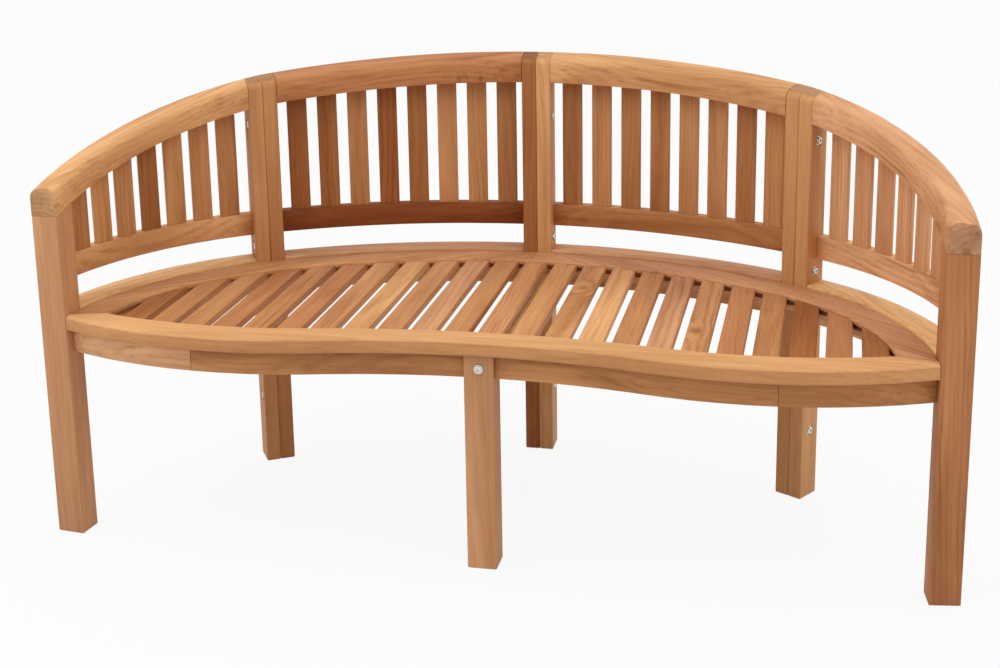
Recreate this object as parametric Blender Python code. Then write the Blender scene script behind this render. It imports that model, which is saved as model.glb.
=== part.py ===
"""Teak garden bench for three, whose slatted back curves round into the arms. Metres, +Z up, front to -Y."""

import math

import bmesh
import bpy
from mathutils import Vector

# Clearances
FIT = 0.0003
SLAT_END_GAP = 0.0008
OVERRUN = 0.004

# Plan of the back, along the middle of its panels
MIDDLE_RADIUS = 1.000
MIDDLE_ANGLE = math.radians(31.4)
ARM_RADIUS = 0.5385
ARM_END_ANGLE = math.radians(82.3)
PANEL_DEPTH = 0.0525

# Posts and front leg
HALF_POST_WIDTH = 0.028
FRONT_POST_WIDTH = 0.0472
LEG_WIDTH = 0.0517
LEG_DEPTH = 0.0511
LEG_SETBACK = 0.0095
POST_EASE = 0.0015

# Top rails and the rounded tops of the posts
BACK_RISE = 0.3963
MIDDLE_CREST_FALL = 0.0316
ARM_CREST_FALL = 0.1274
TOP_RAIL_HEIGHT = 0.050
CROWN_ROUND = 0.017
CROWN_FALL = 0.005
ARM_END_CROWN_FALL = -0.002
CROWN_STEPS = 4

# Rails below the back slats
SLAT_RAIL_FRONT = 0.004
SLAT_RAIL_RISE = 0.048
SLAT_RAIL_HEIGHT = 0.0435

# Back slats, housed in grooves in the rails above and below
BACK_SLAT_WIDTH = 0.0385
BACK_SLAT_THICKNESS = 0.009
BACK_SLAT_SETBACK = 0.004
MIDDLE_SLATS = 8
MIDDLE_END_GAPS = (0.0186, 0.0250)
ARM_SLATS = 7
ARM_END_GAPS = (0.0232, 0.045)
SLAT_HOUSING = 0.010

# Base rails, level with the seat
BASE_RAIL_RISE = 0.0047
BASE_RAIL_HEIGHT = 0.0707

# Tenons of the rails, and of the front posts into the arm rails
TENON_LENGTH = 0.015
TENON_ROOT = 0.010
TOP_TENON_HEIGHT = 0.026
TOP_TENON_DROP = 0.0265
TOP_TENON_THICKNESS = 0.016
TOP_TENON_OFFSET = -0.002
SLAT_TENON_SHOULDER = 0.006
SLAT_TENON_THICKNESS = 0.012
BASE_TENON_HEIGHT = 0.040
BASE_TENON_THICKNESS = 0.020
POST_TENON_LENGTH = 0.022
POST_TENON_WIDTH = 0.024
POST_TENON_THICKNESS = 0.020

# Seat frame
SEAT_HEIGHT = 0.420
FRAME_THICKNESS = 0.028
FRAME_EASE = 0.003
FRONT_EDGE_EASE = 0.005
BACK_RAIL_WIDTH = 0.0605
FRONT_EDGE_HOLLOW_REACH = 0.0134
FRONT_EDGE_BULGE_REACH = 0.0644
FRONT_RAIL_HOLLOW_WIDTH = 0.051
FRONT_RAIL_BULGE_WIDTH = 0.0605
BULGE_PLACE_SHARE = 0.6
JOINT_INNER_ANGLE = math.radians(80.2)
JOINT_OUTER_ANGLE = math.radians(83.0)
JOINT_TONGUE_SHARES = (0.3, 0.8)

# Apron below the front rail
APRON_SETBACK = 0.020
APRON_THICKNESS = 0.021
APRON_HEIGHT = 0.0437
APRON_JOINT_SHARE = 0.666

# Brace from the front leg to the centre posts
BRACE_WIDTH = 0.052
BRACE_DROP = 0.042
BRACE_SHIFT = 0.0125

# Seat slats, tongued into the frame
SEAT_SLAT_SIDE_COUNT = 11
SEAT_END_ROOM = 0.0226
SEAT_SLAT_WIDTH = 0.0433
SEAT_SLAT_THICKNESS = 0.020
SEAT_SLAT_DROP = 0.003
SEAT_SLAT_SHIFT = 0.010
TONGUE_LENGTH = 0.010
TONGUE_THICKNESS = 0.009
SEAT_SLAT_SIDE_SHARES = (0.0, 0.5, 1.0)

# Bolts
FOOT_BOLT_HEIGHT = 0.133
MIDDLE_BOLT_RISE = 0.026
TOP_BOLT_RISE = 0.271
LEG_BOLT_DROP = 0.025
LEG_BOLT_BITE = 0.040
BOLT_RADIUS = 0.004
BOLT_HEAD_RADIUS = 0.0075
BOLT_HEAD_PROUD = 0.0015
BOLT_CROWN_RADIUS = 0.0045
BOLT_SOCKET_RADIUS = 0.0022
BOLT_SOCKET_DEPTH = 0.002
COUNTERBORE_RADIUS = 0.0095
COUNTERBORE_DEPTH = 0.002
BOLT_SIDES = 12

# Steps along the curves
BASE_RAIL_STEPS = 12
BACK_RAIL_MIDDLE_STEPS = 10
BACK_RAIL_ARM_STEPS = 14
FRONT_RAIL_STEPS = 20
APRON_STEPS = 10

HALF_DEPTH = PANEL_DEPTH / 2
FRAME_LOW = SEAT_HEIGHT - FRAME_THICKNESS
CREST_HEIGHT = SEAT_HEIGHT + BACK_RISE
SLAT_RAIL_LOW = SEAT_HEIGHT + SLAT_RAIL_RISE
SLAT_RAIL_TOP = SLAT_RAIL_LOW + SLAT_RAIL_HEIGHT
BASE_RAIL_TOP = SEAT_HEIGHT + BASE_RAIL_RISE
BASE_RAIL_LOW = BASE_RAIL_TOP - BASE_RAIL_HEIGHT
BACK_RAIL_OUTER = -(HALF_DEPTH + FIT)
BACK_RAIL_INNER = BACK_RAIL_OUTER - BACK_RAIL_WIDTH
BACK_SLAT_FRONT = SLAT_RAIL_FRONT + BACK_SLAT_SETBACK
BACK_SLAT_BACK = BACK_SLAT_FRONT + BACK_SLAT_THICKNESS
SEAT_SLAT_TOP = SEAT_HEIGHT - SEAT_SLAT_DROP
SEAT_SLAT_LOW = SEAT_SLAT_TOP - SEAT_SLAT_THICKNESS
TONGUE_LOW = (SEAT_SLAT_TOP + SEAT_SLAT_LOW - TONGUE_THICKNESS) / 2
TONGUE_TOP = TONGUE_LOW + TONGUE_THICKNESS
FRAME_GROOVE_DEPTH = TONGUE_LENGTH + FIT
BOLT_HEIGHTS = {
    "foot": FOOT_BOLT_HEIGHT,
    "middle": SEAT_HEIGHT + MIDDLE_BOLT_RISE,
    "top": SEAT_HEIGHT + TOP_BOLT_RISE,
}
LEG_BOLT_HEIGHT = FRAME_LOW - LEG_BOLT_DROP

SIDES = {"left": -1, "right": 1}
SHARP_ANGLE = math.radians(40)

# Finishes: colour, roughness and metallic
FINISHES = {
    "teak_posts": ((0.58, 0.30, 0.145), 0.55, 0.0),
    "teak_rails": ((0.60, 0.31, 0.14), 0.55, 0.0),
    "teak_back_slats": ((0.50, 0.24, 0.10), 0.60, 0.0),
    "teak_seat_slats": ((0.56, 0.29, 0.14), 0.58, 0.0),
    "teak_front_rail": ((0.74, 0.43, 0.19), 0.50, 0.0),
    "steel": ((0.72, 0.71, 0.68), 0.28, 1.0),
}


def mix(start, end, share):
    return start + (end - start) * share


def shares_to(count):
    return [step / count for step in range(count + 1)]


class PlanArc:
    """An arc of the back seen from above. Angles run from +Y towards the arm, offsets outwards."""

    def __init__(self, centre, radius, angles, crest_start, crest_fall, crown_falls):
        self.centre = centre
        self.radius = radius
        self.angles = angles
        self.crest_start = crest_start
        self.crown_falls = crown_falls
        self.start_back, end_back = (self.back_face(angle) for angle in angles)
        self.crest_slope = crest_fall / (self.start_back - end_back)

    def back_face(self, angle):
        return self.centre.y + (self.radius + HALF_DEPTH) * math.cos(angle)

    def crest(self, angle):
        """Height of the back's top, which falls towards the front."""
        return self.crest_start - self.crest_slope * (self.start_back - self.back_face(angle))

    def crown_fall(self, angle):
        """How much lower the top's front edge is than its back edge, before rounding."""
        start, end = self.angles
        return mix(*self.crown_falls, (angle - start) / (end - start))

    def spot(self, angle, offset, height=0.0):
        """A point from the arc's centre."""
        reach = self.radius + offset
        return Vector((reach * math.sin(angle), reach * math.cos(angle), height))

    def place(self, angle, offset):
        """The same point in the bench's plan."""
        return self.centre + self.spot(angle, offset)


MIDDLE_ARC = PlanArc(
    Vector((0, -MIDDLE_RADIUS, 0)),
    MIDDLE_RADIUS,
    (0, MIDDLE_ANGLE),
    CREST_HEIGHT,
    MIDDLE_CREST_FALL,
    (CROWN_FALL, CROWN_FALL),
)
ARM_ARC = PlanArc(
    MIDDLE_ARC.place(MIDDLE_ANGLE, -ARM_RADIUS),
    ARM_RADIUS,
    (MIDDLE_ANGLE, ARM_END_ANGLE),
    MIDDLE_ARC.crest(MIDDLE_ANGLE),
    ARM_CREST_FALL,
    (CROWN_FALL, ARM_END_CROWN_FALL),
)


class PostSide:
    """The side of a post that a panel's rails meet, a set distance from the post's own plane on the arc."""

    def __init__(self, arc, angle, toward, stand):
        self.arc = arc
        self.angle = angle
        self.toward = toward
        self.stand = stand

    def angle_at(self, distance, offset):
        """The angle of a point that far from the post's plane, so that a rail's end is cut flat."""
        return self.angle + self.toward * math.asin(distance / (self.arc.radius + offset))

    def rail_end(self, offset):
        return self.angle_at(self.stand + FIT, offset)

    def location(self, side):
        spot = self.arc.place(self.angle, 0)
        return Vector((side * spot.x, spot.y, 0))

    def box(self, side, near, far, offsets, heights):
        """Rings of a box in the post's frame, measured along the rail from the post's plane."""
        rings = []
        for distance in (near, far):
            across = side * self.toward * distance
            corners = ((0, 0), (1, 0), (1, 1), (0, 1))
            rings.append([Vector((across, offsets[i], heights[j])) for i, j in corners])
        return rings


class Panel:
    """One slatted panel of the back, between the posts at its two ends."""

    def __init__(self, arc, start, end, slats, end_gaps):
        self.arc = arc
        self.start = start
        self.end = end
        middle = (BACK_SLAT_FRONT + BACK_SLAT_BACK) / 2
        self.length = (arc.radius + middle) * (end.rail_end(middle) - start.rail_end(middle))
        first, last = end_gaps
        last_start = self.length - last - BACK_SLAT_WIDTH
        self.slat_starts = [mix(first, last_start, share) for share in shares_to(slats - 1)]

    def angle(self, share, offset):
        return mix(self.start.rail_end(offset), self.end.rail_end(offset), share)

    def shares(self):
        """Stations at the ends and at each slat's edges, because the slats are flat."""
        found = [0.0]
        for edge in self.slat_starts:
            found += [edge / self.length, (edge + BACK_SLAT_WIDTH) / self.length]
        return found + [1.0]

    def ring(self, share, profile, side):
        points = []
        for offset, height in profile:
            spot = self.arc.spot(self.angle(share, offset), offset, height)
            points.append(Vector((side * spot.x, spot.y, spot.z)))
        return points

    def underside(self, share, offset):
        return underside_height(self.arc, self.angle(share, 0), offset)


CENTRE_SIDE = PostSide(MIDDLE_ARC, 0, 1, HALF_POST_WIDTH)
CORNER_INNER_SIDE = PostSide(MIDDLE_ARC, MIDDLE_ANGLE, -1, HALF_POST_WIDTH)
CORNER_OUTER_SIDE = PostSide(ARM_ARC, MIDDLE_ANGLE, 1, HALF_POST_WIDTH)
FRONT_SIDE = PostSide(ARM_ARC, ARM_END_ANGLE, -1, FRONT_POST_WIDTH / 2)
MIDDLE_PANEL = Panel(MIDDLE_ARC, CENTRE_SIDE, CORNER_INNER_SIDE, MIDDLE_SLATS, MIDDLE_END_GAPS)
ARM_PANEL = Panel(ARM_ARC, CORNER_OUTER_SIDE, FRONT_SIDE, ARM_SLATS, ARM_END_GAPS)


class WaveEdge:
    """A front edge of the seat: hollow at the centre, with a bulge each side that runs back to a corner."""

    def __init__(self, hollow_y, bulge_y, corner):
        depth = hollow_y - bulge_y
        back = corner.y - bulge_y
        self.bulge_radius = ((corner.x - BULGE_PLACE) ** 2 + back**2) / (2 * back)
        drop = self.bulge_radius - depth
        self.hollow_radius = (BULGE_PLACE**2 + drop**2 - self.bulge_radius**2) / (2 * depth)
        self.turn = BULGE_PLACE * self.hollow_radius / (self.hollow_radius + self.bulge_radius)
        self.hollow_y = hollow_y
        self.bulge_y = bulge_y

    def y(self, x):
        x = abs(x)
        if x < self.turn:
            return self.hollow_y - self.hollow_radius + math.sqrt(self.hollow_radius**2 - x**2)
        swing = math.sqrt(self.bulge_radius**2 - (x - BULGE_PLACE) ** 2)
        return self.bulge_y + self.bulge_radius - swing


def post_plane_point(distance, offset):
    """A point in plan from the front post's middle: along the arm, forwards, and across it, outwards."""
    along = Vector((math.cos(ARM_END_ANGLE), -math.sin(ARM_END_ANGLE), 0))
    across = Vector((math.sin(ARM_END_ANGLE), math.cos(ARM_END_ANGLE), 0))
    return ARM_ARC.place(ARM_END_ANGLE, 0) + along * distance + across * offset


OUTER_END = post_plane_point(FRONT_POST_WIDTH / 2, BACK_RAIL_OUTER)
JOINT_INNER = ARM_ARC.place(JOINT_INNER_ANGLE, BACK_RAIL_INNER)
JOINT_OUTER = ARM_ARC.place(JOINT_OUTER_ANGLE, BACK_RAIL_OUTER)
BULGE_PLACE = OUTER_END.x * BULGE_PLACE_SHARE
APRON_JOINT_PLACE = OUTER_END.x * APRON_JOINT_SHARE
OUTER_EDGE = WaveEdge(OUTER_END.y - FRONT_EDGE_HOLLOW_REACH, OUTER_END.y - FRONT_EDGE_BULGE_REACH, OUTER_END)
INNER_EDGE = WaveEdge(
    OUTER_EDGE.hollow_y + FRONT_RAIL_HOLLOW_WIDTH,
    OUTER_EDGE.bulge_y + FRONT_RAIL_BULGE_WIDTH,
    JOINT_INNER - Vector((0, FIT, 0)),
)
LEG_MIDDLE_Y = OUTER_EDGE.hollow_y + LEG_SETBACK + LEG_DEPTH / 2
BENCH_SHIFT = -(OUTER_EDGE.bulge_y + HALF_DEPTH) / 2
SEAT_SLAT_COUNT = 2 * SEAT_SLAT_SIDE_COUNT + 1
SEAT_SLAT_PITCH = (2 * (JOINT_INNER.x - SEAT_END_ROOM) - SEAT_SLAT_WIDTH) / (SEAT_SLAT_COUNT - 1)


def inner_edge_y(x):
    """The front rail's inner edge, which past the slats runs along its joint with the back rail."""
    x = abs(x)
    if x <= JOINT_INNER.x:
        return INNER_EDGE.y(x)
    share = (x - JOINT_INNER.x) / (JOINT_OUTER.x - JOINT_INNER.x)
    return mix(JOINT_INNER.y, JOINT_OUTER.y, share) - FIT


def post_face_x(y):
    """The front post's inner side at this y, less a fit."""
    return OUTER_END.x - (y - OUTER_END.y) / math.tan(ARM_END_ANGLE)


def back_edge_y(x):
    """The back rail's inner edge."""
    x = abs(x)
    arc = MIDDLE_ARC
    if x > MIDDLE_ARC.place(MIDDLE_ANGLE, BACK_RAIL_INNER).x:
        arc = ARM_ARC
    reach = arc.radius + BACK_RAIL_INNER
    return arc.centre.y + math.sqrt(reach**2 - (x - arc.centre.x) ** 2)


def underside_height(arc, angle, offset):
    fall = arc.crown_fall(angle) * (HALF_DEPTH - offset) / PANEL_DEPTH
    return arc.crest(angle) - TOP_RAIL_HEIGHT - fall


def crown_points(arc, angle):
    """The rounded top, from the front face over to the back face."""
    crest = arc.crest(angle)
    corners = (
        (CROWN_ROUND - HALF_DEPTH, crest - arc.crown_fall(angle) - CROWN_ROUND, math.pi),
        (HALF_DEPTH - CROWN_ROUND, crest - CROWN_ROUND, math.pi / 2),
    )
    points = []
    for offset, height, start in corners:
        for share in shares_to(CROWN_STEPS):
            angle = start - share * math.pi / 2
            points.append((offset + CROWN_ROUND * math.cos(angle), height + CROWN_ROUND * math.sin(angle)))
    return points


def eased_box(front, back, low, high, ease):
    return [
        (front + ease, low),
        (back - ease, low),
        (back, low + ease),
        (back, high - ease),
        (back - ease, high),
        (front + ease, high),
        (front, high - ease),
        (front, low + ease),
    ]


def loft(rings):
    """A closed mesh through rings of matching points."""
    mesh = bmesh.new()
    loops = [[mesh.verts.new(point) for point in ring] for ring in rings]
    for low, high in zip(loops, loops[1:]):
        for here in range(len(low)):
            after = (here + 1) % len(low)
            mesh.faces.new((low[here], low[after], high[after], high[here]))
    mesh.faces.new(list(reversed(loops[0])))
    mesh.faces.new(loops[-1])
    bmesh.ops.recalc_face_normals(mesh, faces=mesh.faces)
    return mesh


def turned(stations, sides, axis):
    """Rings round an axis, from pairs of distance along it and radius."""
    rings = []
    for distance, radius in stations:
        ring = []
        for step in range(sides):
            angle = 2 * math.pi * step / sides
            around = (radius * math.cos(angle), radius * math.sin(angle))
            if axis == "x":
                ring.append(Vector((distance, around[0], around[1])))
            else:
                ring.append(Vector((around[0], distance, around[1])))
        rings.append(ring)
    return rings


def raised(rings, height):
    return [[point + Vector((0, 0, height)) for point in ring] for ring in rings]


def finish_of(name):
    colour, roughness, metallic = FINISHES[name]
    material = bpy.data.materials.get(name) or bpy.data.materials.new(name)
    material.use_nodes = True
    shader = material.node_tree.nodes["Principled BSDF"]
    shader.inputs["Base Color"].default_value = (*colour, 1)
    shader.inputs["Roughness"].default_value = roughness
    shader.inputs["Metallic"].default_value = metallic
    return material


def add_object(name, meshes, parent, location=(0, 0, 0), turn=0.0):
    data = bpy.data.meshes.new(name)
    whole = bmesh.new()
    for mesh in meshes:
        mesh.to_mesh(data)
        whole.from_mesh(data)
        mesh.free()
    whole.to_mesh(data)
    whole.free()
    obj = bpy.data.objects.new(name, data)
    bpy.context.scene.collection.objects.link(obj)
    obj.parent = parent
    obj.location = location
    obj.rotation_euler.z = turn
    return obj


def add_part(name, rings, finish, parent, location=(0, 0, 0), turn=0.0, curved=False):
    obj = add_object(name, [loft(rings)], parent, location, turn)
    obj.data.materials.append(finish_of(finish))
    if curved:
        obj.data.shade_smooth()
        obj.data.set_sharp_from_angle(angle=SHARP_ANGLE)
    return obj


def add_tool(name, ring_sets, parent, location=(0, 0, 0)):
    """A cutter or a tenon, kept out of the finished bench."""
    tool = add_object(name, [loft(rings) for rings in ring_sets], parent, location)
    tool.hide_render = True
    tool.display_type = "WIRE"
    return tool


def add_boolean(obj, tool, operation):
    modifier = obj.modifiers.new(tool.name, "BOOLEAN")
    modifier.operation = operation
    modifier.solver = "EXACT"
    modifier.object = tool


def add_ease(obj, width):
    modifier = obj.modifiers.new("ease", "BEVEL")
    modifier.width = width
    modifier.segments = 1
    modifier.limit_method = "ANGLE"
    modifier.angle_limit = SHARP_ANGLE


def top_tenon_heights(post_side):
    crest = post_side.arc.crest(post_side.rail_end(0))
    middle = crest - TOP_TENON_DROP
    return (middle - TOP_TENON_HEIGHT / 2, middle + TOP_TENON_HEIGHT / 2)


def rail_tenons(post_side, with_top):
    """Offsets and heights of the tenons that this post takes, by rail."""
    slat_middle = (SLAT_RAIL_FRONT + HALF_DEPTH) / 2
    base_middle = (BASE_RAIL_LOW + BASE_RAIL_TOP) / 2
    tenons = {
        "slat_rail": (
            (slat_middle - SLAT_TENON_THICKNESS / 2, slat_middle + SLAT_TENON_THICKNESS / 2),
            (SLAT_RAIL_LOW + SLAT_TENON_SHOULDER, SLAT_RAIL_TOP - SLAT_HOUSING - SLAT_TENON_SHOULDER),
        ),
        "base_rail": (
            (-BASE_TENON_THICKNESS / 2, BASE_TENON_THICKNESS / 2),
            (base_middle - BASE_TENON_HEIGHT / 2, base_middle + BASE_TENON_HEIGHT / 2),
        ),
    }
    if with_top:
        tenons["top_rail"] = (
            (TOP_TENON_OFFSET - TOP_TENON_THICKNESS / 2, TOP_TENON_OFFSET + TOP_TENON_THICKNESS / 2),
            top_tenon_heights(post_side),
        )
    return tenons


def grown(limits):
    return (limits[0] - FIT, limits[1] + FIT)


def mortises(post_side, side, with_top):
    boxes = []
    floor = post_side.stand - TENON_LENGTH
    for offsets, heights in rail_tenons(post_side, with_top).values():
        boxes.append(post_side.box(side, floor, post_side.stand + OVERRUN, grown(offsets), grown(heights)))
    return boxes


def add_tenons(post_side, side, post, with_top):
    """A tenon for each rail that this post takes."""
    tip = post_side.stand - TENON_LENGTH + FIT
    tenons = {}
    for rail, (offsets, heights) in rail_tenons(post_side, with_top).items():
        box = post_side.box(side, tip, post_side.stand + TENON_ROOT, offsets, heights)
        tenons[rail] = add_tool(f"tenon_{rail}_{post.name}", [box], post)
    return tenons


def bolt_hole(side, toward):
    """A hole through a half post, with its counterbore on the side that the rails meet."""
    floor = HALF_POST_WIDTH - COUNTERBORE_DEPTH
    stations = (
        (-OVERRUN, BOLT_RADIUS + FIT),
        (floor, BOLT_RADIUS + FIT),
        (floor, COUNTERBORE_RADIUS),
        (HALF_POST_WIDTH + OVERRUN, COUNTERBORE_RADIUS),
    )
    return turned([(side * toward * reach, radius) for reach, radius in stations], BOLT_SIDES, "x")


def add_half_post(name, post_side, side, bench):
    rings = []
    for distance in (FIT / 2, HALF_POST_WIDTH):
        across = side * post_side.toward * distance
        crown = crown_points(post_side.arc, post_side.angle_at(distance, 0))
        profile = [(-HALF_DEPTH, 0)] + crown + [(HALF_DEPTH, 0)]
        rings.append([Vector((across, offset, height)) for offset, height in profile])
    turn = -side * post_side.angle
    post = add_part(name, rings, "teak_posts", bench, post_side.location(side), turn)
    add_ease(post, POST_EASE)
    cuts = mortises(post_side, side, True)
    hole = bolt_hole(side, post_side.toward)
    cuts += [raised(hole, height) for height in BOLT_HEIGHTS.values()]
    add_boolean(post, add_tool(f"cuts_{name}", cuts, post), "DIFFERENCE")
    return post


def front_post_top(distance, offset):
    return underside_height(ARM_ARC, FRONT_SIDE.angle_at(distance, 0), offset) - FIT


def add_front_post(name, side, bench):
    """The post under the front of an arm, its top sloped to the arm rail and tenoned into it."""
    half = FRONT_POST_WIDTH / 2
    rings = []
    for distance in (-half, half):
        across = side * FRONT_SIDE.toward * distance
        tops = [front_post_top(distance, offset) for offset in (-HALF_DEPTH, HALF_DEPTH)]
        corners = ((-HALF_DEPTH, 0), (-HALF_DEPTH, tops[0]), (HALF_DEPTH, tops[1]), (HALF_DEPTH, 0))
        rings.append([Vector((across, offset, height)) for offset, height in corners])
    turn = -side * ARM_END_ANGLE
    post = add_part(name, rings, "teak_posts", bench, FRONT_SIDE.location(side), turn)
    add_boolean(post, add_tool(f"cuts_{name}", mortises(FRONT_SIDE, side, False), post), "DIFFERENCE")
    reach = POST_TENON_WIDTH / 2
    offsets = (-POST_TENON_THICKNESS / 2, POST_TENON_THICKNESS / 2)
    top = front_post_top(0, 0)
    tenon = FRONT_SIDE.box(side, -reach, reach, offsets, (top - TENON_ROOT, top + POST_TENON_LENGTH))
    add_boolean(post, add_tool(f"tenon_{name}", [tenon], post), "UNION")
    pocket_heights = (top - OVERRUN * 2, top + POST_TENON_LENGTH + FIT)
    pocket = FRONT_SIDE.box(side, -reach - FIT, reach + FIT, grown(offsets), pocket_heights)
    return post, add_tool(f"pocket_{name}", [pocket], post)


def top_rail_profile(arc, angle):
    under = [(offset, underside_height(arc, angle, offset)) for offset in (HALF_DEPTH, -HALF_DEPTH)]
    return crown_points(arc, angle) + under


def arm_rail_front_ring(side):
    """The arm rail's end, flush with the front of the post that it lies on."""
    reach = -FRONT_POST_WIDTH / 2
    ring = []
    for offset, height in top_rail_profile(ARM_ARC, FRONT_SIDE.angle_at(reach, 0)):
        spot = ARM_ARC.spot(FRONT_SIDE.angle_at(reach, offset), offset, height)
        ring.append(Vector((side * spot.x, spot.y, spot.z)))
    return ring


def groove_rings(panel, side, levels):
    """The groove that houses the slats. levels gives its two heights at a station and an offset."""
    front = BACK_SLAT_FRONT - FIT
    back = BACK_SLAT_BACK + FIT
    corners = ((front, 0), (back, 0), (back, 1), (front, 1))
    rings = []
    for share in panel.shares():
        profile = [(offset, levels(share, offset)[level]) for offset, level in corners]
        rings.append(panel.ring(share, profile, side))
    return rings


def panel_location(panel, side):
    return (side * panel.arc.centre.x, panel.arc.centre.y, 0)


def add_top_rail(name, panel, side, bench, front_ring=None):
    rings = []
    for share in panel.shares():
        profile = top_rail_profile(panel.arc, panel.angle(share, 0))
        rings.append(panel.ring(share, profile, side))
    if front_ring:
        rings.append(front_ring)
    spot = panel_location(panel, side)
    rail = add_part(name, rings, "teak_rails", bench, spot, curved=True)

    def levels(share, offset):
        under = panel.underside(share, offset)
        return under - OVERRUN, under + SLAT_HOUSING

    groove = add_tool(f"groove_{name}", [groove_rings(panel, side, levels)], bench, spot)
    add_boolean(rail, groove, "DIFFERENCE")
    return rail


def add_slat_rail(name, panel, side, bench):
    profile = [
        (SLAT_RAIL_FRONT, SLAT_RAIL_LOW),
        (HALF_DEPTH, SLAT_RAIL_LOW),
        (HALF_DEPTH, SLAT_RAIL_TOP),
        (SLAT_RAIL_FRONT, SLAT_RAIL_TOP),
    ]
    rings = [panel.ring(share, profile, side) for share in panel.shares()]
    spot = panel_location(panel, side)
    rail = add_part(name, rings, "teak_rails", bench, spot, curved=True)

    def levels(share, offset):
        return SLAT_RAIL_TOP - SLAT_HOUSING, SLAT_RAIL_TOP + OVERRUN

    groove = add_tool(f"groove_{name}", [groove_rings(panel, side, levels)], bench, spot)
    add_boolean(rail, groove, "DIFFERENCE")
    return rail


def add_base_rail(name, panel, side, bench):
    profile = eased_box(-HALF_DEPTH, HALF_DEPTH, BASE_RAIL_LOW, BASE_RAIL_TOP, FRAME_EASE)
    rings = [panel.ring(share, profile, side) for share in shares_to(BASE_RAIL_STEPS)]
    return add_part(name, rings, "teak_rails", bench, panel_location(panel, side), curved=True)


def add_back_slats(name, panel, side, bench):
    """A panel's slats, joined above and below by the strips that fill the rails' grooves between them."""
    shares = panel.shares()
    mesh = bmesh.new()
    grid = []
    for share in shares:
        column = []
        for offset in (BACK_SLAT_FRONT, BACK_SLAT_BACK):
            under = panel.underside(share, offset)
            heights = (SLAT_RAIL_TOP - SLAT_HOUSING + FIT, SLAT_RAIL_TOP, under, under + SLAT_HOUSING - FIT)
            profile = [(offset, height) for height in heights]
            column.append([mesh.verts.new(point) for point in panel.ring(share, profile, side)])
        grid.append(column)

    def solid(column, row):
        """The strips are unbroken, and between them every other column is a slat."""
        if not (0 <= column < len(shares) - 1 and 0 <= row <= 2):
            return False
        return row != 1 or column % 2 == 1

    for column in range(len(shares) - 1):
        near, far = grid[column], grid[column + 1]
        for row in range(3):
            if not solid(column, row):
                continue
            for skin in (0, 1):
                mesh.faces.new((near[skin][row], far[skin][row], far[skin][row + 1], near[skin][row + 1]))
            if not solid(column - 1, row):
                mesh.faces.new((near[0][row], near[1][row], near[1][row + 1], near[0][row + 1]))
            if not solid(column + 1, row):
                mesh.faces.new((far[0][row], far[1][row], far[1][row + 1], far[0][row + 1]))
            if not solid(column, row - 1):
                mesh.faces.new((near[0][row], far[0][row], far[1][row], near[1][row]))
            if not solid(column, row + 1):
                mesh.faces.new((near[0][row + 1], far[0][row + 1], far[1][row + 1], near[1][row + 1]))
    bmesh.ops.recalc_face_normals(mesh, faces=mesh.faces)
    obj = add_object(name, [mesh], bench, panel_location(panel, side))
    obj.data.materials.append(finish_of("teak_back_slats"))
    return obj


def add_panel(kind, panel, side_name, bench, posts, with_front_top):
    """One panel's rails and slats, with their tenons joined on."""
    side = SIDES[side_name]
    start_post, end_post = posts
    tenon_sets = (
        add_tenons(panel.start, side, start_post, True),
        add_tenons(panel.end, side, end_post, not with_front_top),
    )
    front_ring = arm_rail_front_ring(side) if with_front_top else None
    rails = {
        "top_rail": add_top_rail(f"{kind}_top_rail_{side_name}", panel, side, bench, front_ring),
        "slat_rail": add_slat_rail(f"{kind}_slat_rail_{side_name}", panel, side, bench),
        "base_rail": add_base_rail(f"{kind}_base_rail_{side_name}", panel, side, bench),
    }
    for tenons in tenon_sets:
        for rail, tenon in tenons.items():
            add_boolean(rails[rail], tenon, "UNION")
    add_back_slats(f"{kind}_slats_{side_name}", panel, side, bench)
    return rails["top_rail"]


def groove_profile(edge_low, edge_high, depth_sign):
    """The notch for the slats' tongues, between two heights of a frame edge."""
    return [
        (0, edge_low),
        (depth_sign * FRAME_GROOVE_DEPTH, edge_low),
        (depth_sign * FRAME_GROOVE_DEPTH, edge_high),
        (0, edge_high),
    ]


def add_seat_back_rail(name, side, bench):
    """The rail that follows the back and arm in front of the posts."""
    box = eased_box(BACK_RAIL_INNER, BACK_RAIL_OUTER, FRAME_LOW, SEAT_HEIGHT, FRAME_EASE)
    notch = groove_profile(TONGUE_TOP + FIT, TONGUE_LOW - FIT, 1)
    profile = box[:-1] + [(BACK_RAIL_INNER + shift, height) for shift, height in notch] + box[-1:]

    def ring(arc, angle_at):
        points = []
        for offset, height in profile:
            spot = arc.place(angle_at(offset), offset)
            points.append(Vector((side * spot.x, spot.y, height)))
        return points

    def joint_angle(offset):
        share = (offset - BACK_RAIL_INNER) / BACK_RAIL_WIDTH
        return mix(JOINT_INNER_ANGLE, JOINT_OUTER_ANGLE, share)

    def middle_angle(offset):
        return math.asin(FIT / 2 / (MIDDLE_RADIUS + offset))

    rings = []
    for share in shares_to(BACK_RAIL_MIDDLE_STEPS):
        rings.append(ring(MIDDLE_ARC, lambda offset: mix(middle_angle(offset), MIDDLE_ANGLE, share)))
    for share in shares_to(BACK_RAIL_ARM_STEPS)[1:]:
        rings.append(ring(ARM_ARC, lambda offset: mix(MIDDLE_ANGLE, joint_angle(offset), share)))
    rail = add_part(name, rings, "teak_rails", bench, curved=True)
    add_boolean(rail, add_tool(f"tongue_{name}", [joint_tongue(side)], bench), "UNION")
    return rail


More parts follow.
